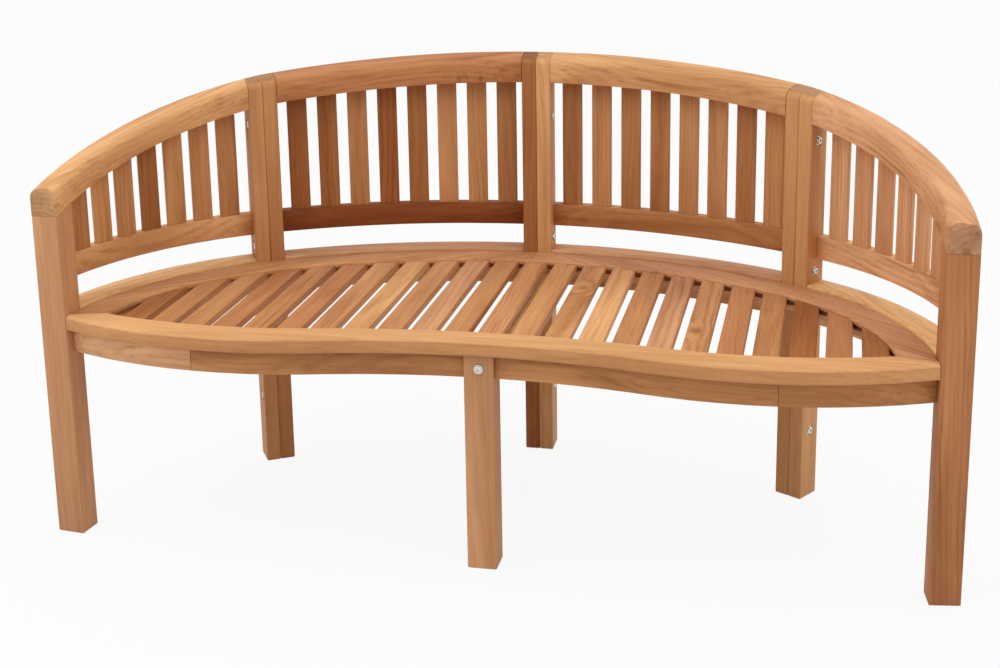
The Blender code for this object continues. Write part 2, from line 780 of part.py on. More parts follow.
def joint_tongue(side):
    """The tongue on the back rail's end, which fills the front rail's groove."""
    rings = []
    for share in JOINT_TONGUE_SHARES:
        x = mix(JOINT_INNER.x, JOINT_OUTER.x, share)
        joint = mix(JOINT_INNER.y, JOINT_OUTER.y, share)
        front = joint - TONGUE_LENGTH
        back = joint + TENON_ROOT
        corners = ((front, TONGUE_LOW), (back, TONGUE_LOW), (back, TONGUE_TOP), (front, TONGUE_TOP))
        rings.append([Vector((side * x, y, height)) for y, height in corners])
    return rings


def add_seat_front_rail(name, bench):
    notch = groove_profile(TONGUE_LOW - FIT, TONGUE_TOP + FIT, -1)
    profile = [
        (0, 0, FRAME_LOW + FRAME_EASE),
        (0, FRAME_EASE, FRAME_LOW),
        (1, -FRAME_EASE, FRAME_LOW),
        (1, 0, FRAME_LOW + FRAME_EASE),
        *[(1, shift, height) for shift, height in notch],
        (1, 0, SEAT_HEIGHT - FRAME_EASE),
        (1, -FRAME_EASE, SEAT_HEIGHT),
        (0, FRONT_EDGE_EASE, SEAT_HEIGHT),
        (0, 0, SEAT_HEIGHT - FRONT_EDGE_EASE),
    ]
    corner_share = JOINT_INNER.x / JOINT_OUTER.x
    half = [share * corner_share for share in shares_to(FRONT_RAIL_STEPS)] + [1.0]
    rings = []
    for share in [-share for share in reversed(half[1:])] + half:
        ring = []
        for inner, shift, height in profile:
            x = share * (JOINT_OUTER.x if inner else OUTER_END.x)
            y = (inner_edge_y(x) if inner else OUTER_EDGE.y(x)) + shift
            if abs(share) == 1:
                x = share * post_face_x(y)
            ring.append(Vector((x, y, height)))
        rings.append(ring)
    return add_part(name, rings, "teak_front_rail", bench, curved=True)


def add_apron(name, side, start_x, meets_post, bench):
    """A curved board below the front rail, from the leg to a joint or from the joint to the post."""
    top = FRAME_LOW - FIT
    profile = (
        (APRON_SETBACK, top - APRON_HEIGHT),
        (APRON_SETBACK + APRON_THICKNESS, top - APRON_HEIGHT),
        (APRON_SETBACK + APRON_THICKNESS, top),
        (APRON_SETBACK, top),
    )
    end_x = APRON_JOINT_PLACE - FIT / 2
    rings = []
    for share in shares_to(APRON_STEPS):
        ring = []
        for setback, height in profile:
            if meets_post:
                end_x = post_face_x(OUTER_END.y + setback)
            x = mix(start_x, end_x, share)
            ring.append(Vector((side * x, OUTER_EDGE.y(x) + setback, height)))
        rings.append(ring)
    return add_part(name, rings, "teak_rails", bench, curved=True)


def add_seat_slat(number, bench):
    middle = (number - 1 - SEAT_SLAT_SIDE_COUNT) * SEAT_SLAT_PITCH + SEAT_SLAT_SHIFT
    rings = []
    for share in SEAT_SLAT_SIDE_SHARES:
        across = SEAT_SLAT_WIDTH * (share - 0.5)
        front = inner_edge_y(middle + across) + SLAT_END_GAP
        back = back_edge_y(middle + across) - SLAT_END_GAP
        profile = (
            (front, SEAT_SLAT_LOW),
            (front, TONGUE_LOW),
            (front - TONGUE_LENGTH, TONGUE_LOW),
            (front - TONGUE_LENGTH, TONGUE_TOP),
            (front, TONGUE_TOP),
            (front, SEAT_SLAT_TOP),
            (back, SEAT_SLAT_TOP),
            (back, TONGUE_TOP),
            (back + TONGUE_LENGTH, TONGUE_TOP),
            (back + TONGUE_LENGTH, TONGUE_LOW),
            (back, TONGUE_LOW),
            (back, SEAT_SLAT_LOW),
        )
        rings.append([Vector((across, y, height)) for y, height in profile])
    return add_part(f"seat_slat_{number:02d}", rings, "teak_seat_slats", bench, (middle, 0, 0))


def add_front_leg(name, bench):
    half = LEG_WIDTH / 2
    deep = LEG_DEPTH / 2
    corners = ((-half, -deep), (half, -deep), (half, deep), (-half, deep))
    rings = [[Vector((x, y, height)) for x, y in corners] for height in (0, FRAME_LOW - FIT)]
    leg = add_part(name, rings, "teak_posts", bench, (0, LEG_MIDDLE_Y, 0))
    add_ease(leg, POST_EASE)
    stations = (
        (-deep - OVERRUN, COUNTERBORE_RADIUS),
        (COUNTERBORE_DEPTH - deep, COUNTERBORE_RADIUS),
        (COUNTERBORE_DEPTH - deep, BOLT_RADIUS + FIT),
        (deep + OVERRUN, BOLT_RADIUS + FIT),
    )
    hole = raised(turned(stations, BOLT_SIDES, "y"), LEG_BOLT_HEIGHT)
    add_boolean(leg, add_tool(f"cuts_{name}", [hole], leg), "DIFFERENCE")
    return leg


def add_brace(name, bench):
    """The board under the slats at the centre, stepped to pass below the back rail."""
    sides = (BRACE_SHIFT - BRACE_WIDTH / 2, BRACE_SHIFT + BRACE_WIDTH / 2)
    front = LEG_MIDDLE_Y + LEG_DEPTH / 2 + FIT
    low = FRAME_LOW - BRACE_DROP
    back = math.sqrt((MIDDLE_RADIUS - HALF_DEPTH) ** 2 - sides[1] ** 2) - MIDDLE_RADIUS - FIT
    step = back_edge_y(sides[1]) - SLAT_END_GAP
    profile = (
        (front, low),
        (back, low),
        (back, FRAME_LOW - FIT),
        (step, FRAME_LOW - FIT),
        (step, SEAT_SLAT_LOW - FIT),
        (front, SEAT_SLAT_LOW - FIT),
    )
    rings = [[Vector((x, y, height)) for y, height in profile] for x in sides]
    brace = add_part(name, rings, "teak_rails", bench)
    stations = ((front - OVERRUN, BOLT_RADIUS + FIT), (front + LEG_BOLT_BITE + OVERRUN, BOLT_RADIUS + FIT))
    hole = raised(turned(stations, BOLT_SIDES, "y"), LEG_BOLT_HEIGHT)
    add_boolean(brace, add_tool(f"cuts_{name}", [hole], bench), "DIFFERENCE")
    return brace


def bolt_head(face):
    """Stations of a head let into a face, from its socket out to the start of the shank."""
    top = face - BOLT_HEAD_PROUD
    return [
        (top + BOLT_SOCKET_DEPTH, BOLT_SOCKET_RADIUS),
        (top, BOLT_SOCKET_RADIUS),
        (top, BOLT_CROWN_RADIUS),
        (face, BOLT_HEAD_RADIUS),
        (face + COUNTERBORE_DEPTH - FIT, BOLT_HEAD_RADIUS),
        (face + COUNTERBORE_DEPTH - FIT, BOLT_RADIUS),
    ]


def add_corner_bolt(name, post_side, side, height, bench):
    """A bolt with its cap nut, through both half posts of a corner."""
    head = bolt_head(-HALF_POST_WIDTH)
    stations = head + [(-distance, radius) for distance, radius in reversed(head)]
    spot = post_side.location(side) + Vector((0, 0, height))
    rings = turned(stations, BOLT_SIDES, "x")
    turn = -side * post_side.angle
    return add_part(name, rings, "steel", bench, spot, turn, curved=True)


def add_leg_bolt(name, bench):
    face = -LEG_DEPTH / 2
    stations = bolt_head(face) + [(LEG_DEPTH / 2 + LEG_BOLT_BITE, BOLT_RADIUS)]
    rings = turned(stations, BOLT_SIDES, "y")
    spot = (0, LEG_MIDDLE_Y, LEG_BOLT_HEIGHT)
    return add_part(name, rings, "steel", bench, spot, curved=True)


def clear_scene():
    for obj in list(bpy.data.objects):
        bpy.data.objects.remove(obj, do_unlink=True)


def build_back(bench):
    for side_name, side in SIDES.items():
        centre = add_half_post(f"centre_post_{side_name}", CENTRE_SIDE, side, bench)
        inner = add_half_post(f"corner_post_inner_{side_name}", CORNER_INNER_SIDE, side, bench)
        outer = add_half_post(f"corner_post_outer_{side_name}", CORNER_OUTER_SIDE, side, bench)
        front, pocket = add_front_post(f"front_post_{side_name}", side, bench)
        add_panel("back", MIDDLE_PANEL, side_name, bench, (centre, inner), False)
        arm_rail = add_panel("arm", ARM_PANEL, side_name, bench, (outer, front), True)
        add_boolean(arm_rail, pocket, "DIFFERENCE")


def build_seat(bench):
    add_front_leg("front_leg", bench)
    add_seat_front_rail("seat_front_rail", bench)
    add_brace("seat_brace", bench)
    for side_name, side in SIDES.items():
        add_seat_back_rail(f"seat_back_rail_{side_name}", side, bench)
        add_apron(f"apron_inner_{side_name}", side, LEG_WIDTH / 2 + FIT, False, bench)
        add_apron(f"apron_outer_{side_name}", side, APRON_JOINT_PLACE + FIT / 2, True, bench)
    for number in range(1, SEAT_SLAT_COUNT + 1):
        add_seat_slat(number, bench)


def build_bolts(bench):
    for place, height in BOLT_HEIGHTS.items():
        add_corner_bolt(f"corner_bolt_{place}_right", CORNER_OUTER_SIDE, SIDES["right"], height, bench)
    add_leg_bolt("leg_bolt", bench)


def main():
    clear_scene()
    bench = bpy.data.objects.new("bench", None)
    bpy.context.scene.collection.objects.link(bench)
    bench.location.y = BENCH_SHIFT
    build_back(bench)
    build_seat(bench)
    build_bolts(bench)


main()
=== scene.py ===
"""Looks of the curved teak bench: its boards, bolts, light, floor and camera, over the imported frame."""

import logging
import math
import random
from collections.abc import Callable
from dataclasses import dataclass, field
from enum import Enum

import bmesh
import bpy
from mathutils import Euler, Matrix, Vector


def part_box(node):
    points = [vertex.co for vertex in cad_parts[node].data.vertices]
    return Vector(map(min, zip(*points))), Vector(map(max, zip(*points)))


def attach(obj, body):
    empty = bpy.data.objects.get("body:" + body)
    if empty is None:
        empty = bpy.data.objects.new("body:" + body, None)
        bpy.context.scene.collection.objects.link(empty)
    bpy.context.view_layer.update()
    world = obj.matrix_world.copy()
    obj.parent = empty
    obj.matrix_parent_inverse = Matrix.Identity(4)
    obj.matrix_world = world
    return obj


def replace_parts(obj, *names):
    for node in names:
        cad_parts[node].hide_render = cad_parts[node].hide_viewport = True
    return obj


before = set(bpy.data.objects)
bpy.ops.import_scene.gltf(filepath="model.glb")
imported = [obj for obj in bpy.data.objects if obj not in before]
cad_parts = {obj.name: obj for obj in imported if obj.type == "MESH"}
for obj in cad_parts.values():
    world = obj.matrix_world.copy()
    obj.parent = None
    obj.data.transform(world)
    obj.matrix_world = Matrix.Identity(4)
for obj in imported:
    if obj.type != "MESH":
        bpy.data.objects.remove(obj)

log = logging.getLogger("bench")

Triple = tuple[float, float, float]
Socket = bpy.types.NodeSocket

BODY = "root"
PHOTO_WIDTH = 1000
SENSOR_WIDTH = 36.0
WHITE = (1.0, 1.0, 1.0, 1.0)

MIDDLE_RADIUS = 1.0
ARM_RADIUS = 0.5385
SEAM_ANGLE = math.radians(31.4)
ARM_END_ANGLE = math.radians(82.3)
SIDES = {"left": -1, "right": 1}
LOG_SEED = 11

SAME_POINT = 0.00002
SAME_HEIGHT = 0.001
SAME_RIM = 0.000001
LEVEL_CUT = 0.00001
SAME_PLANE = math.radians(0.6)
SHARP_TURN = math.radians(35.0)

FULL = 255
GAMMA = 2.2
NOISE_ROUGHNESS = 0.55


def linear(red: float, green: float, blue: float) -> Triple:
    """A colour given as the eye sees it, 0 to 255, in scene values.

    Args:
        red: Share of red, 0 to 255.
        green: Share of green, 0 to 255.
        blue: Share of blue, 0 to 255.

    Returns:
        The three linear values.
    """
    return tuple((value / FULL) ** GAMMA for value in (red, green, blue))


class Slot(Enum):
    """Material slots of the record."""

    POSTS = "teak_posts"
    RAILS = "teak_rails"
    BACK_SLATS = "teak_back_slats"
    SEAT_SLATS = "teak_seat_slats"
    FRONT_RAIL = "teak_front_rail"
    STEEL = "steel"


class Tone(Enum):
    """Colours of single boards, from the palest teak to the darkest, as the middle of their grain."""

    STRAW = (226, 176, 118)
    SHELL = (228, 173, 127)
    BLUSH = (218, 160, 116)
    HONEY = (212, 156, 104)
    GOLD = (203, 145, 94)
    TAN = (196, 138, 91)
    ROSE = (198, 142, 100)
    WARM = (186, 128, 81)
    CLAY = (180, 119, 76)
    BROWN = (166, 107, 62)
    RUST = (150, 90, 50)
    UMBER = (134, 74, 38)

    def mid(self) -> Triple:
        """The tone in scene values."""
        return linear(*self.value)


class Axis(Enum):
    """Which way the grain of a board runs, as turns about X, Y and Z that carry X onto it."""

    ALONG_X = (0.0, 0.0, 0.0)
    ALONG_Y = (0.0, 0.0, math.pi / 2)
    UPRIGHT = (0.0, -math.pi / 2, 0.0)


class Sawn(Enum):
    """Where a board lay in the log: how far its middle is from the pith across its face and its thickness."""

    FLAT = (0.012, 0.055)
    QUARTER = (0.085, 0.006)
    RIFT = (0.050, 0.045)


@dataclass(frozen=True)
class Knot:
    """A knot in a board.

    Attributes:
        place: Where it is, in bench coordinates.
        size: Its radius across the grain.
        depth: How dark its heart is, 0 to 1.
    """

    place: Triple
    size: float = 0.008
    depth: float = 0.7


@dataclass(frozen=True)
class Grain:
    """How strongly the marks of a teak board show.

    Attributes:
        rings: Weight of the growth rings.
        streaks: Weight of the long fibres.
        lines: Weight of the thin dark lines.
        veins: Weight of the dark mineral veins.
        drift: How much the tone wanders along the board.
        ring_scale: Density of the rings.
    """

    rings: float = 0.22
    streaks: float = 0.30
    lines: float = 0.26
    veins: float = 0.34
    drift: float = 0.20
    ring_scale: float = 34.0


@dataclass(frozen=True)
class Board:
    """What one board is cut from.

    Attributes:
        tone: Its colour.
        axis: Which way its grain runs.
        yaw: Turn of that grain about the vertical.
        pitch: Slope of that grain, down along its own way.
        sawn: Where it lay in the log.
        grain: How strongly its marks show.
        knots: Its knots.
        edge: Share of its colour that is left on its faces that do not look up: painted shade that makes its
            sides darker than its lit top.
    """

    tone: Tone
    axis: Axis = Axis.ALONG_X
    yaw: float = 0.0
    pitch: float = 0.0
    sawn: Sawn = Sawn.RIFT
    grain: Grain = Grain()
    knots: tuple[Knot, ...] = ()
    edge: Triple = (1.0, 1.0, 1.0)

    def turn(self) -> Euler:
        """The turn that carries X onto the grain."""
        about_x, about_y, about_z = self.axis.value
        return Euler((about_x, about_y + self.pitch, about_z + self.yaw))


@dataclass(frozen=True)
class Layer:
    """One layer of marks, read from noise that is drawn out along the grain.

    Attributes:
        stretch: Density of the noise along the grain, across it and through it.
        detail: How many finer layers it has.
        low: Noise up to this leaves no mark.
        high: Noise from this on leaves a full mark.
    """

    stretch: Triple
    detail: float
    low: float
    high: float


class Recipe:
    """Lays out the nodes of one material, or of the world."""

    def __init__(self, owner: bpy.types.Material | bpy.types.World, shader: str = "Principled BSDF") -> None:
        """Starts from the nodes that a new material or world has.

        Args:
            owner: The material or world.
            shader: Name of its shader node.
        """
        owner.use_nodes = True
        self.tree = owner.node_tree
        self.shader = self.tree.nodes[shader]

    def node(self, kind: str, **values: object) -> bpy.types.Node:
        """Adds a node.

        Args:
            kind: Its Blender type.
            **values: Its settings.

        Returns:
            The node.
        """
        made = self.tree.nodes.new(kind)
        for key, value in values.items():
            setattr(made, key, value)
        return made

    def feed(self, socket: Socket, value: object) -> None:
        """Joins a socket to another, or sets it.

        Args:
            socket: The input.
            value: An output socket, or a constant.
        """
        if isinstance(value, bpy.types.NodeSocket):
            self.tree.links.new(value, socket)
        else:
            socket.default_value = value

    def maths(self, operation: str, *values: object) -> Socket:
        """One step of arithmetic.

        Args:
            operation: Name of the step.
            *values: Its inputs.

        Returns:
            Its result.
        """
        made = self.node("ShaderNodeMath", operation=operation)
        for socket, value in zip(made.inputs, values):
            self.feed(socket, value)
        return made.outputs[0]

    def vector(self, operation: str, *values: object) -> bpy.types.Node:
        """One step of vector arithmetic.

        Args:
            operation: Name of the step.
            *values: Its inputs.

        Returns:
            The node.
        """
        made = self.node("ShaderNodeVectorMath", operation=operation)
        for socket, value in zip(made.inputs, values):
            self.feed(socket, value)
        return made

    def coordinates(self, spot: Vector, turn: Euler) -> Socket:
        """Object coordinates read from a place and a turn.

        Args:
            spot: Where they start.
            turn: How they are turned.

        Returns:
            The coordinates.
        """
        mapping = self.node("ShaderNodeMapping", vector_type="TEXTURE")
        self.feed(mapping.inputs["Vector"], self.node("ShaderNodeTexCoord").outputs["Object"])
        mapping.inputs["Location"].default_value = spot
        mapping.inputs["Rotation"].default_value = turn
        return mapping.outputs[0]

    def facing(self, way: Vector) -> Socket:
        """How much a face looks one way.

        Args:
            way: That way.

        Returns:
            1 for a face that looks straight along it, 0 for one that lies along it.
        """
        source = self.node("ShaderNodeTexCoord")
        return self.vector("DOT_PRODUCT", source.outputs["Normal"], tuple(way)).outputs["Value"]

    def noise(self, place: Socket, stretch: Triple, detail: float = 2.0) -> bpy.types.Node:
        """Noise drawn out along the grain.

        Args:
            place: Where the pattern is read.
            stretch: Its density along the grain, across it and through it.
            detail: How many finer layers it has.

        Returns:
            The noise node.
        """
        made = self.node("ShaderNodeTexNoise")
        self.feed(made.inputs["Vector"], self.vector("MULTIPLY", place, stretch).outputs[0])
        made.inputs["Scale"].default_value = 1.0
        made.inputs["Detail"].default_value = detail
        made.inputs["Roughness"].default_value = NOISE_ROUGHNESS
        return made

    def ramped(
        self, value: object, low: float, high: float, to_low: float = 0.0, to_high: float = 1.0
    ) -> Socket:
        """Carries one range onto another, softly.

        Args:
            value: What is mapped.
            low: Start of its range.
            high: End of its range.
            to_low: Start of the new range.
            to_high: End of the new range.

        Returns:
            The mapped value.
        """
        made = self.node("ShaderNodeMapRange", interpolation_type="SMOOTHSTEP")
        for socket, number in zip(made.inputs, (value, low, high, to_low, to_high)):
            self.feed(socket, number)
        return made.outputs[0]

    def layer(self, place: Socket, layer: Layer, to_low: float = 0.0, to_high: float = 1.0) -> Socket:
        """One layer of marks.

        Args:
            place: Where the pattern is read.
            layer: The layer.
            to_low: Value where it leaves no mark.
            to_high: Value where it leaves a full mark.

        Returns:
            The marks.
        """
        noise = self.noise(place, layer.stretch, layer.detail)
        return self.ramped(noise.outputs["Fac"], layer.low, layer.high, to_low, to_high)

    def blended(self, kind: str, share: object, first: object, second: object) -> Socket:
        """Mixes two colours.

        Args:
            kind: How they are mixed.
            share: How much of the second.
            first: The colour below.
            second: The colour above.

        Returns:
            The mixed colour.
        """
        made = self.node("ShaderNodeMix", data_type="RGBA", blend_type=kind)
        colours = [socket for socket in made.inputs if socket.type == "RGBA"]
        self.feed(made.inputs[0], share)
        for socket, value in zip(colours, (first, second)):
            self.feed(socket, (*value, 1.0) if isinstance(value, tuple) else value)
        return [socket for socket in made.outputs if socket.type == "RGBA"][0]

    def relief(self, height: Socket, strength: float, depth: float, invert: bool = False) -> None:
        """Gives the surface a fine relief.

        Args:
            height: Its height.
            strength: How strongly it shows.
            depth: How deep it goes.
            invert: Whether the high places are hollows.
        """
        bump = self.node("ShaderNodeBump", invert=invert)
        bump.inputs["Strength"].default_value = strength
        bump.inputs["Distance"].default_value = depth
        self.feed(bump.inputs["Height"], height)
        self.feed(self.shader.inputs["Normal"], bump.outputs[0])


@dataclass(frozen=True)
class TeakFinish:
    """Planed teak: rings, fibres, veins and pores run through the solid board along its own grain.

    Attributes:
        draws: The draws that place each board in its log, the same on each run.
        slide: How far a board may lie along its log.
        burial: Least and most share of a board's usual depth in its log.
        lean: Most degrees that a board lies askew in its log.
        warp: Density of the noise that bends the grain.
        swing: How far the grain is bent along, across and through.
        ring_spread: Least and most share of the usual density of the rings.
        ring_waver: How much the rings waver, in how many layers, and how finely.
        ring_edge: How narrow the dark part of a ring is.
        streaks: The long fibres.
        lines: The thin dark lines.
        fibres: The fine fibres.
        pores: The open pores.
        veins: The dark mineral veins.
        drift: The slow wandering of the tone.
        fibre_weight: Weight of the fine fibres.
        pore_weight: Weight of the pores.
        pale: What the board's tone is multiplied by in its palest grain.
        deep: What the board's tone is multiplied by in its darkest grain.
        stops: How much mark gives the palest, the middle and the darkest grain.
        drift_share: How much red, green and blue wander.
        knot_shape: How a knot's field is drawn out along the grain, across it and through it.
        knot_heart: Where a knot's heart ends, in its own radii.
        knot_field: Where the grain that turns round a knot ends, in the knot's radii.
        knot_push: How far that grain is pushed along, across and through.
        knot_dark: What the darkest grain is multiplied by in a knot's heart.
        painted_shade_turn: How much a face looks up where the painted shade of the board's sides is full, and
            where it stops.
        end_grain: What the colour is multiplied by on sawn ends.
        end_turn: How much a sawn end looks along the grain.
        rough: Roughness between the fine fibres and on them.
        gloss: Level of the sheen.
        streak_relief: Share of the long fibres in the relief.
        bump_strength: How strongly the relief shows.
        bump_depth: How deep the relief goes.
    """

    draws: random.Random = field(default_factory=lambda: random.Random(LOG_SEED))
    slide: float = 3.0
    burial: tuple[float, float] = (0.8, 1.4)
    lean: float = 1.6
    warp: Triple = (2.4, 9.0, 9.0)
    swing: Triple = (0.0, 0.026, 0.026)
    ring_spread: tuple[float, float] = (0.75, 1.3)
    ring_waver: Triple = (2.2, 2.0, 0.5)
    ring_edge: float = 1.5
    streaks: Layer = Layer((3.4, 95.0, 95.0), 4.0, 0.28, 0.74)
    lines: Layer = Layer((2.2, 230.0, 230.0), 3.0, 0.50, 0.76)
    fibres: Layer = Layer((12.0, 620.0, 620.0), 2.0, 0.25, 0.78)
    pores: Layer = Layer((70.0, 2100.0, 2100.0), 1.0, 0.60, 0.74)
    veins: Layer = Layer((1.6, 40.0, 40.0), 3.0, 0.54, 0.76)
    drift: Layer = Layer((2.2, 15.0, 15.0), 2.0, 0.25, 0.75)
    fibre_weight: float = 0.20
    pore_weight: float = 0.14
    pale: Triple = (1.13, 1.19, 1.22)
    deep: Triple = (0.70, 0.58, 0.48)
    stops: Triple = (0.06, 0.40, 1.0)
    drift_share: Triple = (0.75, 1.0, 1.2)
    knot_shape: Triple = (0.5, 1.0, 0.35)
    knot_heart: tuple[float, float] = (0.55, 1.25)
    knot_field: tuple[float, float] = (0.6, 4.5)
    knot_push: Triple = (0.0, 0.016, 0.010)
    knot_dark: float = 0.42
    painted_shade_turn: tuple[float, float] = (0.15, 0.75)
    end_grain: Triple = (0.72, 0.73, 0.80)
    end_turn: tuple[float, float] = (0.62, 0.92)
    rough: tuple[float, float] = (0.50, 0.66)
    gloss: float = 0.20
    streak_relief: float = 0.5
    bump_strength: float = 0.22
    bump_depth: float = 0.0006

    def log_place(self, recipe: Recipe, board: Board, middle: Vector) -> Socket:
        """Reads the place in the log that a board was sawn from.

        Args:
            recipe: The material.
            board: The board.
            middle: Middle of the board.

        Returns:
            Coordinates along the grain, and across it from the pith.
        """
        across, through = board.sawn.value
        swap = self.draws.choice((-1, 1))
        along = self.draws.uniform(-self.slide, self.slide)
        offset = Vector((along, swap * across, -through * self.draws.uniform(*self.burial)))
        turn = board.turn().to_matrix()
        pitch = math.radians(self.draws.uniform(-self.lean, self.lean))
        yaw = math.radians(self.draws.uniform(-self.lean, self.lean))
        lean = Euler((0.0, pitch, yaw)).to_matrix()
        place = recipe.coordinates(middle + turn @ offset, (turn @ lean).to_euler())
        noise = recipe.noise(place, self.warp).outputs["Color"]
        bend = recipe.vector("SUBTRACT", noise, (0.5, 0.5, 0.5)).outputs[0]
        return recipe.vector("ADD", place, recipe.vector("MULTIPLY", bend, self.swing).outputs[0]).outputs[0]

    def knot_marks(self, recipe: Recipe, board: Board, knot: Knot) -> tuple[Socket, Socket]:
        """The marks of one knot.

        Args:
            recipe: The material.
            board: The board it is in.
            knot: The knot.

        Returns:
            Its heart, and the wider field in which the grain turns round it.
        """
        place = recipe.coordinates(Vector(knot.place), board.turn())
        shrunk = recipe.vector("MULTIPLY", place, tuple(part / knot.size for part in self.knot_shape))
        reach = recipe.vector("LENGTH", shrunk.outputs[0]).outputs["Value"]
        heart = recipe.ramped(reach, *self.knot_heart, knot.depth, 0.0)
        return heart, recipe.ramped(reach, *self.knot_field, 1.0, 0.0)

    def rings(self, recipe: Recipe, place: Socket, grain: Grain) -> Socket:
        """The growth rings.

        Args:
            recipe: The material.
            place: The place in the log.
            grain: How strongly the marks show.

        Returns:
            The rings, 0 to 1.
        """
        wave = recipe.node("ShaderNodeTexWave", wave_type="RINGS", rings_direction="X", wave_profile="SIN")
        recipe.feed(wave.inputs["Vector"], place)
        wave.inputs["Scale"].default_value = grain.ring_scale * self.draws.uniform(*self.ring_spread)
        for socket, value in zip(("Distortion", "Detail", "Detail Scale"), self.ring_waver):
            wave.inputs[socket].default_value = value
        return recipe.maths("POWER", wave.outputs["Fac"], self.ring_edge)

    def grain_colour(self, recipe: Recipe, board: Board, shade: Socket, place: Socket) -> Socket:
        """The board's tone, paler and deeper with its marks, and wandering along it.

        Args:
            recipe: The material.
            board: The board.
            shade: How dark the marks are.
            place: The place in the log.

        Returns:
            The colour.
        """
        mid = Vector(board.tone.mid())
        ramp = recipe.node("ShaderNodeValToRGB")
        recipe.feed(ramp.inputs[0], shade)
        stops = ramp.color_ramp.elements
        stops[0].position, stops[0].color = self.stops[0], (*(mid * Vector(self.pale)), 1.0)
        stops[1].position, stops[1].color = self.stops[2], (*(mid * Vector(self.deep)), 1.0)
        stops.new(self.stops[1]).color = (*mid, 1.0)

        wander = recipe.layer(place, self.drift, 1.0 + board.grain.drift, 1.0 - board.grain.drift)
        level = recipe.maths("SUBTRACT", wander, 1.0)
        tint = recipe.node("ShaderNodeCombineColor")
        for socket, share in zip(tint.inputs, self.drift_share):
            recipe.feed(socket, recipe.maths("MULTIPLY_ADD", level, share, 1.0))
        return recipe.blended("MULTIPLY", 1.0, ramp.outputs[0], tint.outputs[0])

    def material(self, name: str, board: Board, middle: Vector) -> bpy.types.Material:
        """The finish of one board.

        Args:
            name: Name of the material.
            board: The board.
            middle: Middle of the board.

        Returns:
            The material.
        """
        material = bpy.data.materials.new(name)
        recipe = Recipe(material)
        grain = board.grain
        place = self.log_place(recipe, board, middle)
        hearts = []
        for knot in board.knots:
            heart, around = self.knot_marks(recipe, board, knot)
            hearts.append(heart)
            push = recipe.vector("SCALE", self.knot_push)
            recipe.feed(push.inputs["Scale"], around)
            place = recipe.vector("ADD", place, push.outputs[0]).outputs[0]

        shade = recipe.maths("MULTIPLY", self.rings(recipe, place, grain), grain.rings)
        streaks = recipe.layer(place, self.streaks)
        fibres = recipe.layer(place, self.fibres)
        pores = recipe.layer(place, self.pores)
        for marks, weight in (
            (streaks, grain.streaks),
            (recipe.layer(place, self.lines), grain.lines),
            (fibres, self.fibre_weight),
            (recipe.layer(place, self.veins), grain.veins),
            (pores, self.pore_weight),
        ):
            shade = recipe.maths("MULTIPLY_ADD", marks, weight, shade)

        colour = self.grain_colour(recipe, board, shade, place)
        dark = Vector(board.tone.mid()) * Vector(self.deep) * self.knot_dark
        for heart in hearts:
            colour = recipe.blended("MIX", heart, colour, tuple(dark))
        # Painted shade: faces that do not look up are multiplied by the board's edge share, so the sides look
        # darker than the lit top.
        if min(board.edge) < 1.0:
            upward = recipe.facing(Vector((0.0, 0.0, 1.0)))
            side_shade_share = recipe.ramped(upward, *self.painted_shade_turn, 1.0, 0.0)
            colour = recipe.blended("MULTIPLY", side_shade_share, colour, board.edge)
        along = recipe.facing(board.turn().to_matrix() @ Vector((1.0, 0.0, 0.0)))
        cut = recipe.ramped(recipe.maths("ABSOLUTE", along), *self.end_turn)
        colour = recipe.blended("MULTIPLY", cut, colour, self.end_grain)

        recipe.feed(recipe.shader.inputs["Base Color"], colour)
        recipe.feed(recipe.shader.inputs["Roughness"], recipe.ramped(fibres, 0.0, 1.0, *self.rough))
        recipe.shader.inputs["Specular IOR Level"].default_value = self.gloss
        fine = recipe.maths("ADD", pores, fibres)
        height = recipe.maths("MULTIPLY_ADD", streaks, self.streak_relief, fine)
        recipe.relief(height, self.bump_strength, self.bump_depth, invert=True)
        return material


@dataclass(frozen=True)
class SteelFinish:
    """Bright stainless steel, faintly brushed.

    Attributes:
        colour: Its colour as the eye sees it.
        brushing: Density of the scratches in X, Y and Z.
        detail: How many finer layers they have.
        dull: Share of the colour that is left in them.
        rough_range: Scratches below and above which the roughness stays the same.
        rough: Roughness between the scratches and in them.
        bump_strength: How strongly their relief shows.
        bump_depth: How deep they are.
    """

    colour: Triple = (226, 224, 216)
    brushing: Triple = (900.0, 240.0, 900.0)
    detail: float = 3.0
    dull: float = 0.78
    rough_range: tuple[float, float] = (0.3, 0.7)
    rough: tuple[float, float] = (0.20, 0.36)
    bump_strength: float = 0.12
    bump_depth: float = 0.0002

    def material(self, name: str) -> bpy.types.Material:
        """The finish.

        Args:
            name: Name of the material.

        Returns:
            The material.
        """
        material = bpy.data.materials.new(name)
        recipe = Recipe(material)
        place = recipe.coordinates(Vector(), Euler())
        scratches = recipe.noise(place, self.brushing, self.detail).outputs["Fac"]
        pale = linear(*self.colour)
        dull = tuple(value * self.dull for value in pale)
        recipe.feed(recipe.shader.inputs["Base Color"], recipe.blended("MIX", scratches, pale, dull))
        rough = recipe.ramped(scratches, *self.rough_range, *self.rough)
        recipe.feed(recipe.shader.inputs["Roughness"], rough)
        recipe.shader.inputs["Metallic"].default_value = 1.0
        recipe.relief(scratches, self.bump_strength, self.bump_depth)
        return material


@dataclass(frozen=True)
class PlanArc:
    """An arc of the back seen from above.

    Attributes:
        centre: Its centre on the right-hand side.
        radius: Radius of the middle of the panels.
    """

    centre: Vector
    radius: float

    def angle(self, point: Vector) -> float:
        """The angle of a point, on either side, from straight back towards the arm."""
        return math.atan2(abs(point.x) - self.centre.x, point.y - self.centre.y)

    def at(self, angle: float) -> Vector:
        """The point of the arc at an angle from straight back."""
        return self.centre + Vector((math.sin(angle), math.cos(angle), 0.0)) * self.radius


